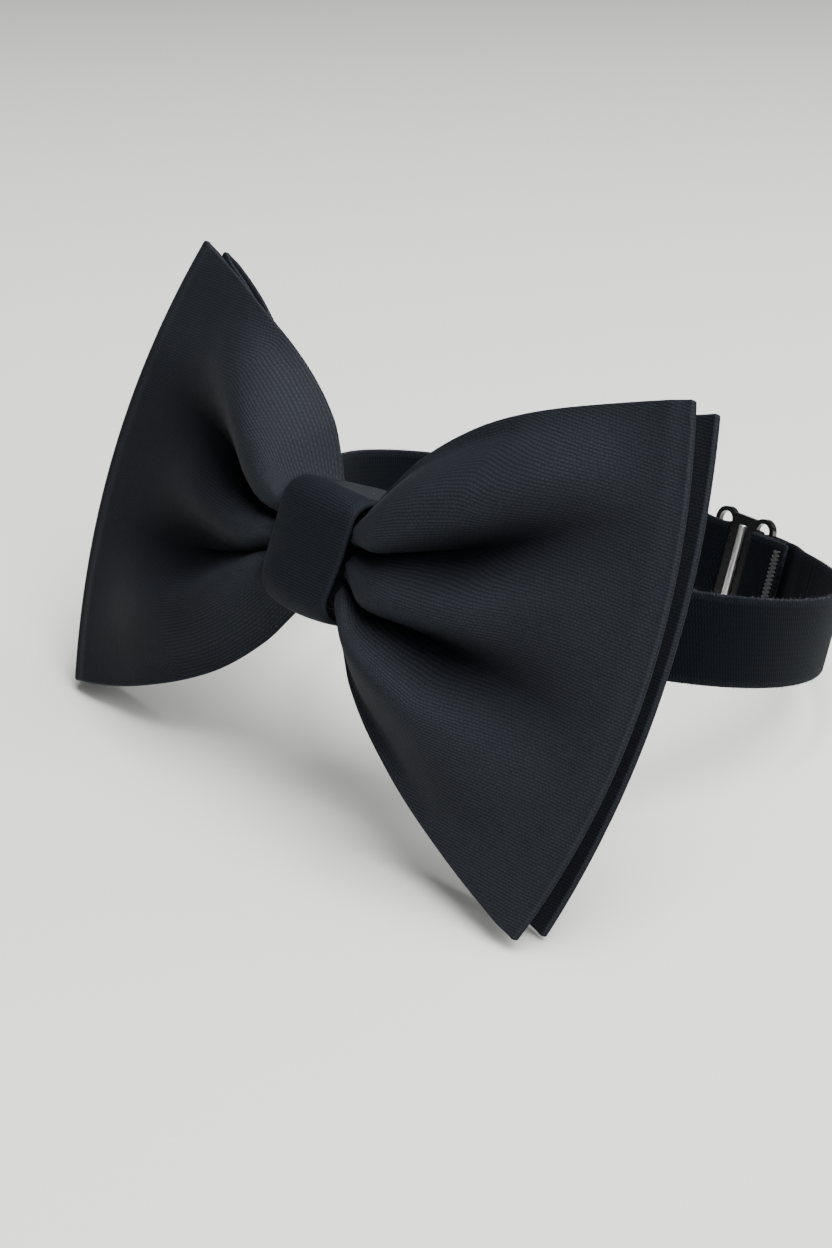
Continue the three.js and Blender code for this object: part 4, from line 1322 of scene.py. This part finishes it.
@dataclass
class Band:
    """The neckband's circle, and the straps, threads and edges that lie along it.

    Attributes:
        frame: the band's placement, with its origin where the strap crosses the knot.
        radius: the circle's radius.
        pitch: from one of the adjuster's slots to the other.
        slot: a slot's width.
        rim: width of the adjuster's outer bars.
        plate: the adjuster's thickness.
        bend: radius of the straps' folds round its bars.
        twist_run: how far from the knot the strap's twist reaches.
        travel_run: from the adjuster's middle to the long strap's plain run.
        stretch_run: from the adjuster's middle to the hook strap's plain run.
        stop_tail: from the adjuster's middle to the long strap's sewn stop.
        tail: length of a strap's sewn-back end.
        ease: length over which a strap leaves or joins the band's circle.
        eye_at: the eye's hinge, along the band from the knot's middle.
        hook_at: the hook's hinge, along the band from the knot's middle.
        fibres: loose fibres on each long run.
    """

    frame: Placement
    radius: float
    pitch: float = 9.0
    slot: float = 3.0
    rim: float = 0.9
    plate: float = 1.2
    bend: float = 0.85
    twist_run: float = 20.0
    travel_run: float = 38.0
    stretch_run: float = 22.0
    stop_tail: float = 13.0
    tail: float = 8.0
    ease: float = 5.0
    eye_at: float = 17.2
    hook_at: float = 36.0
    fibres: int = 900

    @property
    def rear(self) -> float:
        """Half way round the band."""
        return math.pi * self.radius

    @property
    def over_plate(self) -> float:
        """The strap's middle as it crosses the adjuster."""
        return self.plate / 2 + GAP + HALF_STRAP

    @property
    def over_wire(self) -> float:
        """The strap's middle round a hinge wire."""
        return WIRE / 2 + GAP + HALF_STRAP

    def on_band(self, path: Array) -> Array:
        """Places along the circle and out from it, in the band's plane.

        The circle is straightened by past^2 / 2R near the adjuster, which is flat.

        Args:
            path: pairs of place along and place out (n, 2).

        Returns:
            Points (n, 2) in the band's plane.
        """
        along, out = path[:, 0], path[:, 1]
        past = np.abs(along - self.rear)
        flat = past**2 / (2 * self.radius) * (1 - smoothstep(past, self.pitch, 2 * self.pitch))
        turn = along / self.radius
        r = self.radius + out + flat
        return np.stack([r * np.sin(turn), self.radius - r * np.cos(turn)], -1)

    @staticmethod
    def run(start: float, end: float, out_start: float, out_end: float) -> Array:
        """A run along the band whose distance out eases from one value to another."""
        t = np.linspace(0, 1, max(2, int(abs(end - start) / 0.4) + 1))
        return np.stack([start + (end - start) * t, blend_of(out_start, out_end, smoothstep(t, 0, 1))], -1)

    @staticmethod
    def arc(along: float, out: float, radius: float, start: float, end: float) -> Array:
        """Part of a circle about a place on the band."""
        a = np.linspace(start, end, 13)
        return np.stack([along + radius * np.cos(a), out + radius * np.sin(a)], -1)

    def fold_round(self, along: float, hand: int) -> Array:
        """Half a turn round a hinge wire, from the band's outside to its inside."""
        return self.arc(along, 0.0, self.over_wire, math.pi / 2, math.pi / 2 - hand * math.pi)

    def woven_path(self) -> Array:
        """The long strap's end: through the adjuster's slots, over its middle, and back on itself."""
        rear, over, bend = self.rear, self.over_plate, self.bend
        middle = self.pitch / 2
        rise = rear + middle + self.slot / 2 + self.rim
        crossing = middle - self.slot / 2 + GAP + HALF_STRAP
        under = over + STRAP + GAP
        half = math.pi / 2
        return np.concatenate([
            self.run(rear + self.travel_run, rise + self.ease, 0, 0),
            self.run(rise + self.ease - 1, rise, 0, -over),
            self.run(rise - 1, rear + crossing + bend, -over, -over),
            self.arc(rear + crossing + bend, bend - over, bend, -half, -math.pi),
            self.arc(rear + crossing - bend, over - bend, bend, 0, half),
            self.run(rear + crossing - bend, rear - crossing + bend, over, over),
            self.arc(rear - crossing + bend, over - bend, bend, half, math.pi),
            self.arc(rear - crossing - bend, bend - under, bend, 0, -half),
            self.run(rear - crossing - bend - 1, rear - self.stop_tail, -under, -under),
        ])

    def sewn_path(self) -> Array:
        """The hook strap's end, folded round the adjuster's outer bar and sewn to itself."""
        layer = (STRAP + GAP) / 2
        rear, over, bend = self.rear, self.over_plate, self.bend
        turn_end = self.pitch / 2 + self.slot / 2 - GAP - HALF_STRAP
        bar = rear - turn_end - bend
        tail = bar - self.tail / 2
        half = math.pi / 2
        return np.concatenate([
            self.run(tail, bar, -layer, -over),
            self.arc(bar, bend - over, bend, -half, 0),
            self.arc(bar, over - bend, bend, 0, half),
            self.run(bar - 1, tail, over, layer),
            self.run(tail - 1, tail - self.ease, layer, 0),
            self.run(tail - self.ease - 1, rear - self.stretch_run, 0, 0),
        ])

    def hook_path(self) -> Array:
        """The hook strap, ending folded round the hook's hinge bar."""
        over = self.over_wire
        end = self.hook_at + self.tail
        return np.concatenate([
            self.run(self.rear - self.stretch_run, end + self.ease + 1, 0, 0),
            self.run(end + self.ease, end, 0, over),
            self.run(end - 0.6, self.hook_at, over, over),
            self.fold_round(self.hook_at, -1),
            self.run(self.hook_at + 1, end - 4.0, -over, -HALF_STRAP),
            self.run(end - 3.0, end, -HALF_STRAP, -HALF_STRAP),
        ])

    def eye_path(self) -> Array:
        """The short strap, ending folded round the eye's hinge wire."""
        over = self.over_wire
        return np.concatenate([
            self.run(KNOT_WIDTH / 2 - 1, self.eye_at - 0.5, 0, over),
            self.fold_round(self.eye_at, 1),
            self.run(self.eye_at - 1, self.eye_at - 5, -over, -over),
        ])

    def ribbon(self, path: Array, step: float = 0.45) -> Skin:
        """A strap along a path: a flat section with round selvedges, standing across the band.

        The section is a stadium: flat faces, and a half circle over its last half millimetre.

        Args:
            path: pairs of place along and place out (n, 2).
            step: steps along the strap.

        Returns:
            The skin, capped at both ends.
        """
        even = smooth_path(path, step)
        flat = self.on_band(even)
        tangent = unit(np.gradient(flat, axis=0))
        normal = np.stack([-tangent[:, 1], tangent[:, 0]], -1)
        reach = STRAP_WIDTH / 2
        selvedge = 0.45
        w = np.concatenate([[-1.0, -0.985], np.linspace(-0.96, 0.96, 13), [0.985, 1.0]]) * reach
        lip = np.clip((reach - np.abs(w)) / selvedge, 0, 1)
        t = HALF_STRAP * np.sqrt(np.clip(1 - (1 - lip) ** 2, 0.06, 1))
        across = np.concatenate([w, w[::-1]])
        off = np.concatenate([t, -t[::-1]])
        x = flat[:, 0:1] + normal[:, 0:1] * off[None]
        y = flat[:, 1:2] + normal[:, 1:2] * off[None]
        z = np.broadcast_to(across[None], x.shape)
        run = np.concatenate([[0.0], np.cumsum(np.linalg.norm(np.diff(flat, axis=0), axis=1))])
        cloth = np.stack(np.broadcast_arrays(run[:, None], across[None]), -1)
        rub_and_shade_values = np.broadcast_to(smoothstep(np.abs(across), reach - 0.5, reach)[None], x.shape)
        points = self.frame.place(np.stack([x, y, z], -1))
        return Skin(points, cloth, np.array(rub_and_shade_values), False, True, True)

    def strap(self, name: str, path: Array, material: bpy.types.Material, *nodes: str,
              body: str = "") -> bpy.types.Object:
        """A strap as a piece that stands for CAD nodes, on one body or on none."""
        return dress(piece(name, self.ribbon(path).mesh(name), material), "elastic", *nodes, body=body)

    def at(self, along: float, out: float, across: float = 0.0) -> Tuple[float, float, float]:
        """One place on the band, in the model."""
        x, y = self.on_band(np.array([[along, out]]))[0]
        return self.frame.point(float(x), float(y), across)

    def bar_tack(self, name: str, along: float, out: float, face: Face,
                 material: bpy.types.Material, node: str, body: str,
                 rows: int = 15) -> bpy.types.Object:
        """A close zigzag of thread across the strap, over two straight anchoring rows.

        Args:
            name: the piece's name.
            along: its place along the band.
            out: the strap's middle there.
            face: the face that it lies on.
            material: the thread.
            node: the CAD node that it stands for.
            body: the body that it rides.
            rows: how many times the thread crosses.

        Returns:
            The piece.
        """
        covered = 0.78  # share of the strap's width
        t = np.linspace(0, 2 * rows, 2 * rows * 8 + 1)
        zig = np.arcsin(np.sin(math.pi * (t - 0.5))) / (math.pi / 2)
        z = (t / (2 * rows) - 0.5) * STRAP_WIDTH * covered
        rise = HALF_STRAP + 0.1 - 0.16 * np.abs(zig) ** 8
        places = np.stack([along + zig * 0.95, out + face.value * rise], -1)
        flat = self.on_band(places)
        path = self.frame.place(np.concatenate([flat, z[:, None]], 1))
        threads = [tube(path, 0.17 * MM, 7).mesh(name)]
        for shift in (-0.45, 0.45):
            s = np.linspace(-0.5, 0.5, 49)
            lie = np.stack([along + shift + 0 * s, out + face.value * (HALF_STRAP + 0.02 + 0 * s)], -1)
            row = np.concatenate([self.on_band(lie), s[:, None] * STRAP_WIDTH * covered], 1)
            threads.append(tube(self.frame.place(row), 0.14 * MM, 6).mesh(name))
        return dress(piece(name, join_meshes(name, threads), material), "tack_thread", node, body=body)

    def fuzz(self, name: str, path: Array, count: int, seed: int,
             material: bpy.types.Material) -> bpy.types.Object:
        """Short fibre ends along both selvedges, each a three-sided needle.

        Args:
            name: the piece's name.
            path: the strap's path.
            count: how many fibres.
            seed: the random generator's seed.
            material: the fibres' finish.

        Returns:
            The piece.
        """
        dice = np.random.default_rng(seed)
        even = smooth_path(path, 0.2)
        flat = self.on_band(even)
        pick = dice.uniform(1, len(flat) - 2, count)
        k = pick.astype(int)
        f = (pick - k)[:, None]
        root = flat[k] * (1 - f) + flat[k + 1] * f
        tangent = unit(flat[k + 1] - flat[k])
        normal = np.stack([-tangent[:, 1], tangent[:, 0]], -1)
        edge = np.where(dice.random(count) < 0.5, -1.0, 1.0)
        off = dice.uniform(-0.3, 0.3, count)[:, None]
        base = np.concatenate([root + normal * off, (edge * (STRAP_WIDTH / 2 - 0.12))[:, None]], 1)
        lean = dice.normal(0, 0.5, (count, 1))
        spread = dice.normal(0, 0.35, (count, 1))
        along3 = np.concatenate([tangent, np.zeros((count, 1))], 1)
        out3 = np.concatenate([normal, np.zeros((count, 1))], 1)
        up3 = np.stack([0 * edge, 0 * edge, edge], -1)
        length = dice.gamma(3.0, 0.09, (count, 1)) + 0.1
        tip = base + unit(up3 + along3 * lean + out3 * spread) * length
        thick = 0.035  # a fibre's radius
        corners = np.stack([
            base + along3 * thick,
            base - along3 * thick * 0.5 + out3 * thick * 0.87,
            base - along3 * thick * 0.5 - out3 * thick * 0.87,
            tip,
        ], 1)
        n = np.arange(count)[:, None] * 4
        faces = np.concatenate([n + np.array([[0, 1, 3]]), n + np.array([[1, 2, 3]]),
                                n + np.array([[2, 0, 3]]), n + np.array([[0, 2, 1]])])
        mesh = bpy.data.meshes.new(name)
        mesh.from_pydata(self.frame.place(corners.reshape(-1, 3)).tolist(), [], faces.tolist())
        mesh.uv_layers.new(name=CLOTH_MAP)
        mesh.update()
        return dress(piece(name, mesh, material), "elastic", body="band")

    def build(self, elastic: bpy.types.Material, thread: bpy.types.Material,
              fibre: bpy.types.Material) -> List[bpy.types.Object]:
        """Makes the straps, their stitches and fibre edges, and joins all but the four crossing straps to
        bodies.

        Args:
            elastic: the straps' finish.
            thread: the bar tacks' finish.
            fibre: the loose fibres' finish.

        Returns:
            The pieces.
        """
        twist, travel, stretch = self.twist_run, self.travel_run, self.stretch_run
        rear = self.rear
        round_path = self.run(2 * rear - twist, rear + travel, 0, 0)
        knot_path = self.run(-twist, KNOT_WIDTH / 2 - 1, 0, 0)
        parts = [
            self.strap("elastic_long_strap", round_path, elastic, "long_strap", body="band"),
            self.strap("elastic_hook_strap", self.hook_path(), elastic, "hook_strap", body="band"),
        ]

        crossing = [
            ("elastic_knot_strap", knot_path, "knot_strap", "bow", "band", -9.0, -twist + 1),
            ("elastic_eye_strap", self.eye_path(), "eye_strap", "bow", "band", 8.4, 13.5),
            ("elastic_woven_end", self.woven_path(), "long_strap_woven_end", "band", "slider",
             rear + travel - 1, rear + self.pitch + 2),
            ("elastic_sewn_end", self.sewn_path(), "hook_strap_sewn_end", "band", "slider",
             rear - stretch + 1, rear - self.pitch - 3),
        ]
        for name, path, node, first, second, start, end in crossing:
            strap = self.strap(name, path, elastic, node)
            self.at(start, 0)
            self.at(end, 0)
            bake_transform(strap)
            parts.append(strap)

        over = self.over_plate + STRAP + GAP
        hook_tack, eye_tack = self.hook_at + self.tail - 2, self.eye_at - 3
        for name, along, out, node, body in [
            ("stop_tack_thread", rear - self.stop_tail + 2, -over, "stop_bar_tack", "slider"),
            ("hook_tack_thread", hook_tack, -HALF_STRAP, "hook_bar_tack", "band"),
            ("eye_tack_thread", eye_tack, -self.over_wire, "eye_bar_tack", "band"),
        ]:
            parts.append(self.bar_tack(name, along, out, Face.INNER, thread, node, body))

        for name, path, seed in [
            ("long_strap_fibres", round_path, 3),
            ("hook_strap_fibres", self.hook_path(), 5),
        ]:
            parts.append(self.fuzz(name, path, self.fibres, seed, fibre))
        return parts


# ---------------------------------------------------------------- hardware
@dataclass
class Hardware:
    """The adjuster, its bar and the hook as copies of their CAD solids with eased edges, and the eye's
    wire.

    Attributes:
        enamel: the black finish.
        bright: the plated finish.
    """

    enamel: bpy.types.Material
    bright: bpy.types.Material

    def eased_copy(self, nodes: Dict[str, bpy.types.Object], node: str, width: float,
                   material: bpy.types.Material) -> bpy.types.Object:
        """A merged copy of a CAD solid with its flat faces made whole and its edges rounded.

        Args:
            nodes: the CAD objects by name.
            node: the one to copy.
            width: how wide the rounding is, in millimetres.
            material: the piece's finish.

        Returns:
            The piece.
        """
        shape = bmesh.new()
        shape.from_mesh(nodes[node].data)
        same_place, flat = 2e-6, 0.03  # in metres and in radians
        bmesh.ops.remove_doubles(shape, verts=shape.verts[:], dist=same_place)
        bmesh.ops.dissolve_limit(shape, angle_limit=flat, verts=shape.verts[:], edges=shape.edges[:])
        mesh = bpy.data.meshes.new(node + "_metal")
        shape.to_mesh(mesh)
        shape.free()
        made = piece(node + "_metal", mesh, material)
        bevel = made.modifiers.new("eased edges", "BEVEL")
        bevel.width = width * MM
        bevel.segments = 3
        bevel.limit_method = "ANGLE"
        bevel.angle_limit = math.radians(35)
        bevel.harden_normals = False
        mesh.shade_smooth()
        mesh.set_sharp_from_angle(angle=math.radians(40))
        return made

    def build(self, nodes: Dict[str, bpy.types.Object]) -> List[bpy.types.Object]:
        """Makes three metal pieces: the adjuster's frame and bar, which ride the slider, and the hook."""
        made = []
        for node, body, width, slot in [
            ("slider_frame", "slider", 0.22, "black_metal"),
            ("slider_bar", "slider", 0.12, "bright_metal"),
            ("hook", "hook", 0.16, "black_metal"),
        ]:
            material = self.bright if slot == "bright_metal" else self.enamel
            copy = self.eased_copy(nodes, node, width, material)
            made.append(dress(copy, slot, node, body=body))
        return made

    def eye(self, band: Band, length: float = 8.0, corner: float = 1.6) -> bpy.types.Object:
        """The eye's round wire: a rectangle with round corners, hinged in the short strap's fold.

        Args:
            band: the neckband.
            length: hinge wire to far wire.
            corner: radius of the wire's corners.

        Returns:
            The piece.
        """
        play = 0.3
        half = STRAP_WIDTH / 2 + GAP + WIRE / 2 + play
        spots = [(length - corner, half - corner), (corner, half - corner),
                 (corner, corner - half), (length - corner, corner - half)]
        turn = np.linspace(0, math.pi / 2, 9)
        runs = [
            np.stack([x + corner * np.cos(turn + k * math.pi / 2),
                      z + corner * np.sin(turn + k * math.pi / 2)], -1)
            for k, (x, z) in enumerate(spots)
        ]
        loop = np.concatenate(runs + [runs[0][:1]])
        even = smooth_path(loop, 0.35)[:-1]
        angle = band.eye_at / band.radius
        seat = band.on_band(np.array([[band.eye_at, 0.0]]))[0]
        x = seat[0] + even[:, 0] * math.cos(angle)
        y = seat[1] + even[:, 0] * math.sin(angle)
        path = band.frame.place(np.stack([x, y, even[:, 1]], -1))
        skin = tube(path, WIRE / 2 * MM, 14, ring=True)
        made = piece("eye_wire", skin.mesh("eye_wire"), self.enamel)
        return dress(made, "black_metal", "eye", body="eye")


# ---------------------------------------------------------------- studio
@dataclass(frozen=True)
class SoftLight:
    """A rectangular soft light that faces a point.

    Attributes:
        name: the light's name.
        energy: its power, in watts.
        size: its width and height, in metres.
        place: where it hangs, in metres.
        aim: the point that it faces, in metres.
    """

    name: str
    energy: float
    size: Tuple[float, float]
    place: Tuple[float, float, float]
    aim: Tuple[float, float, float] = (0.0, 0.0, 0.03)

    def build(self) -> bpy.types.Object:
        """Makes the light, with its -Z towards the point."""
        data = bpy.data.lights.new(self.name, "AREA")
        data.shape = "RECTANGLE"
        data.size, data.size_y = self.size
        data.energy = self.energy
        made = bpy.data.objects.new(self.name, data)
        facing = (Vector(self.aim) - Vector(self.place)).to_track_quat("-Z", "Y")
        made.matrix_world = Matrix.Translation(self.place) @ facing.to_matrix().to_4x4()
        bpy.context.scene.collection.objects.link(made)
        return made


@dataclass
class Studio:
    """A pale paper sweep, soft lights and the camera.

    Attributes:
        azimuth: the camera's turn round the bow tie, in degrees.
        elevation: the camera's height above the table, in degrees.
        roll: the camera's roll, in degrees.
        position: the camera's place, in metres.
        lens: focal length, in millimetres.
        floor: where the floor starts and where it turns up, along the camera's heading, in metres.
        half_width: half the paper's width, in metres.
        sweep: radius of the paper's turn, in metres.
        wall: height of the paper above its turn, in metres.
        lights: the soft lights.
        around: colour and strength of the surrounding light.
    """

    azimuth: float = 48.37
    elevation: float = 24.7
    roll: float = 0.21
    position: Tuple[float, float, float] = (0.244778, -0.244010, 0.173166)
    lens: float = 63.145
    floor: Tuple[float, float] = (-7.0, 2.2)
    half_width: float = 8.0
    sweep: float = 0.9
    wall: float = 3.0
    lights: Tuple[SoftLight, ...] = (
        SoftLight("overhead", 70.0, (1.4, 1.4), (0.5, 0.15, 1.65), (0.0, 0.0, 0.0)),
        SoftLight("right_panel", 14.0, (0.6, 1.0), (1.2, -0.35, 0.95)),
        SoftLight("rear_rim", 9.0, (1.4, 0.5), (0.75, 1.25, 0.9)),
    )
    around: Tuple[Colour, float] = ((0.93, 0.96, 1.0), 0.08)

    def camera(self) -> bpy.types.Object:
        """The camera: its back direction is (sin a cos e, -cos a cos e, sin e), rolled about it."""
        a, e, r = (math.radians(v) for v in (self.azimuth, self.elevation, self.roll))
        back = Vector((math.sin(a) * math.cos(e), -math.cos(a) * math.cos(e), math.sin(e)))
        right = Vector((math.cos(a), math.sin(a), 0.0))
        up = back.cross(right)
        right, up = right * math.cos(r) + up * math.sin(r), up * math.cos(r) - right * math.sin(r)
        data = bpy.data.cameras.new("camera")
        data.lens = self.lens
        data.sensor_width = 36.0
        data.clip_start = 0.01
        made = bpy.data.objects.new("camera", data)
        turn = Matrix((right, up, back)).transposed().to_4x4()
        made.matrix_world = Matrix.Translation(self.position) @ turn
        bpy.context.scene.collection.objects.link(made)
        bpy.context.scene.camera = made
        return made

    def paper(self, material: bpy.types.Material) -> bpy.types.Object:
        """The sweep: a flat floor that rises in a quarter circle far behind."""
        start, end = self.floor
        run = np.linspace(start, end, 40)
        turn = np.linspace(0, math.pi / 2, 24)[1:]
        wall = np.linspace(0, self.wall, 12)[1:]
        radius = self.sweep
        y = np.concatenate([run, end + radius * np.sin(turn), end + radius + 0 * wall])
        z = np.concatenate([0 * run, radius - radius * np.cos(turn), radius + wall])
        x = np.linspace(-self.half_width, self.half_width, 21)
        lean = math.radians(self.azimuth)
        px = x[None] * math.cos(lean) - y[:, None] * math.sin(lean)
        py = x[None] * math.sin(lean) + y[:, None] * math.cos(lean)
        points = np.stack([px, py, np.broadcast_to(z[:, None], px.shape)], -1)
        faces = Skin(points, np.stack([px, py], -1)).faces()
        mesh = bpy.data.meshes.new("studio_paper")
        mesh.from_pydata(points.reshape(-1, 3).tolist(), [], faces.tolist())
        mesh.shade_smooth()
        made = piece("studio_paper", mesh, material)
        made.location.z = -0.0004  # just below the pieces that rest on it
        return made

    def build(self, material: bpy.types.Material) -> None:
        """Sets the paper, the lights, the surrounding light and the camera."""
        self.paper(material)
        for light in self.lights:
            light.build()
        world = bpy.data.worlds.new("studio")
        bpy.context.scene.world = world
        world.use_nodes = True
        colour, strength = self.around
        background = world.node_tree.nodes["Background"]
        background.inputs[0].default_value = (*colour, 1.0)
        background.inputs[1].default_value = strength
        self.camera()


# ---------------------------------------------------------------- the bow tie
@dataclass
class BowTie:
    """The whole bow tie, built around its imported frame.

    Attributes:
        nodes: the CAD objects by name.
        record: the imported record.
        joints: the record's joints by name.
    """

    nodes: Dict[str, bpy.types.Object]
    record: Dict[str, object]
    joints: Dict[str, dict]

    def bow_frame(self) -> Placement:
        """The bow's frame, from the flat rest on the knot's back, which lies 5 mm up."""
        rest = self.record["mounts"][0]
        back = unit(np.array(rest["axis"], float))
        right = np.array([1.0, 0.0, 0.0])
        up = np.cross(right, back)
        origin = np.array(rest["pos_m"], float) - (Knot().back * back + 5.0 * up) * MM
        return Placement(origin, right, back, up)

    def band_frame(self) -> Tuple[Placement, float]:
        """The band's frame and radius, from the two joints at its start and at its centre."""
        start = np.array(self.joints["band_tilt"]["pos_m"], float)
        centre = np.array(self.joints["slider_travel"]["pos_m"], float)
        up = unit(np.array(self.joints["slider_travel"]["axis"], float))
        radius = float(np.linalg.norm(centre - start) / MM)
        return Placement(start, np.array([1.0, 0.0, 0.0]), unit(centre - start), up), radius

    def build(self) -> List[bpy.types.Object]:
        """Builds and dresses every piece.

        Returns:
            The pieces.
        """
        bow = self.bow_frame()
        twill = RibbedTwill("bow twill").material()
        # the knot's twill is the wings' cloth with darker ground and crown, a painted shade
        wrap = RibbedTwill("knot twill", Grain.ROUND, rib=0.46, ground=(0.0038, 0.0046, 0.0062),
                           crown=(0.0165, 0.0188, 0.0245)).material()
        weave = PlainWeave("interlining weave").material()
        elastic = WovenElastic("woven elastic").material()
        black = TwistedThread("black thread").material()
        grey = TwistedThread("grey thread", shade=(0.006, 0.007, 0.01),
                             glint=(0.013, 0.015, 0.0195)).material()
        fibre = TwistedThread("loose fibre", shade=(0.045, 0.05, 0.06),
                              glint=(0.1, 0.105, 0.115)).material()
        enamel = Enamel("black enamel").material()
        bright = PlatedBar("bright plating").material()

        front = BowLoop("front_loop_cloth", "front_bow_loop", half_height=CORNER, tip_x=56.0,
                        edge_depth=4.4, waist_middle=1.3, puff=6.3)
        rear = BowLoop("back_loop_cloth", "back_bow_loop", half_height=39.1, tip_x=56.6,
                       edge_depth=9.7, waist_middle=6.9, puff=0.0, tuck=1.3, rows=12, fine=0.6,
                       belly=5.8)
        knot = Knot()
        pieces = [
            front.build(bow, twill),
            front.lining("front_interlining_sheet", "front_interlining", bow, weave),
            rear.build(bow, twill),
            rear.lining("back_interlining_sheet", "back_interlining", bow, weave),
            knot.build(bow, wrap),
            knot.overlap(bow, wrap),
            knot.seam(bow, black),
        ]
        frame, radius = self.band_frame()
        band = Band(frame, radius)
        hardware = Hardware(enamel, bright)
        pieces += band.build(elastic, grey, fibre)
        pieces += hardware.build(self.nodes)
        pieces.append(hardware.eye(band))
        thread = self.nodes["gathering_thread"]
        thread.data.materials.clear()
        thread.data.materials.append(TwistedThread("gathering thread").material())
        return pieces


def main() -> None:
    """Loads the frame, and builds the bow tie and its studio."""
    logging.basicConfig(level=logging.INFO, format="%(name)s: %(message)s")
    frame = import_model()
    joints = {joint["name"]: joint for joint in frame["joints"]}
    tie = BowTie(frame["nodes"], frame["record"], joints)
    for made in tie.build():
        LOG.info("%s: %d faces", made.name, len(made.data.polygons))
    Studio().build(StudioPaper("studio paper").material())


if __name__ == "__main__":
    main()
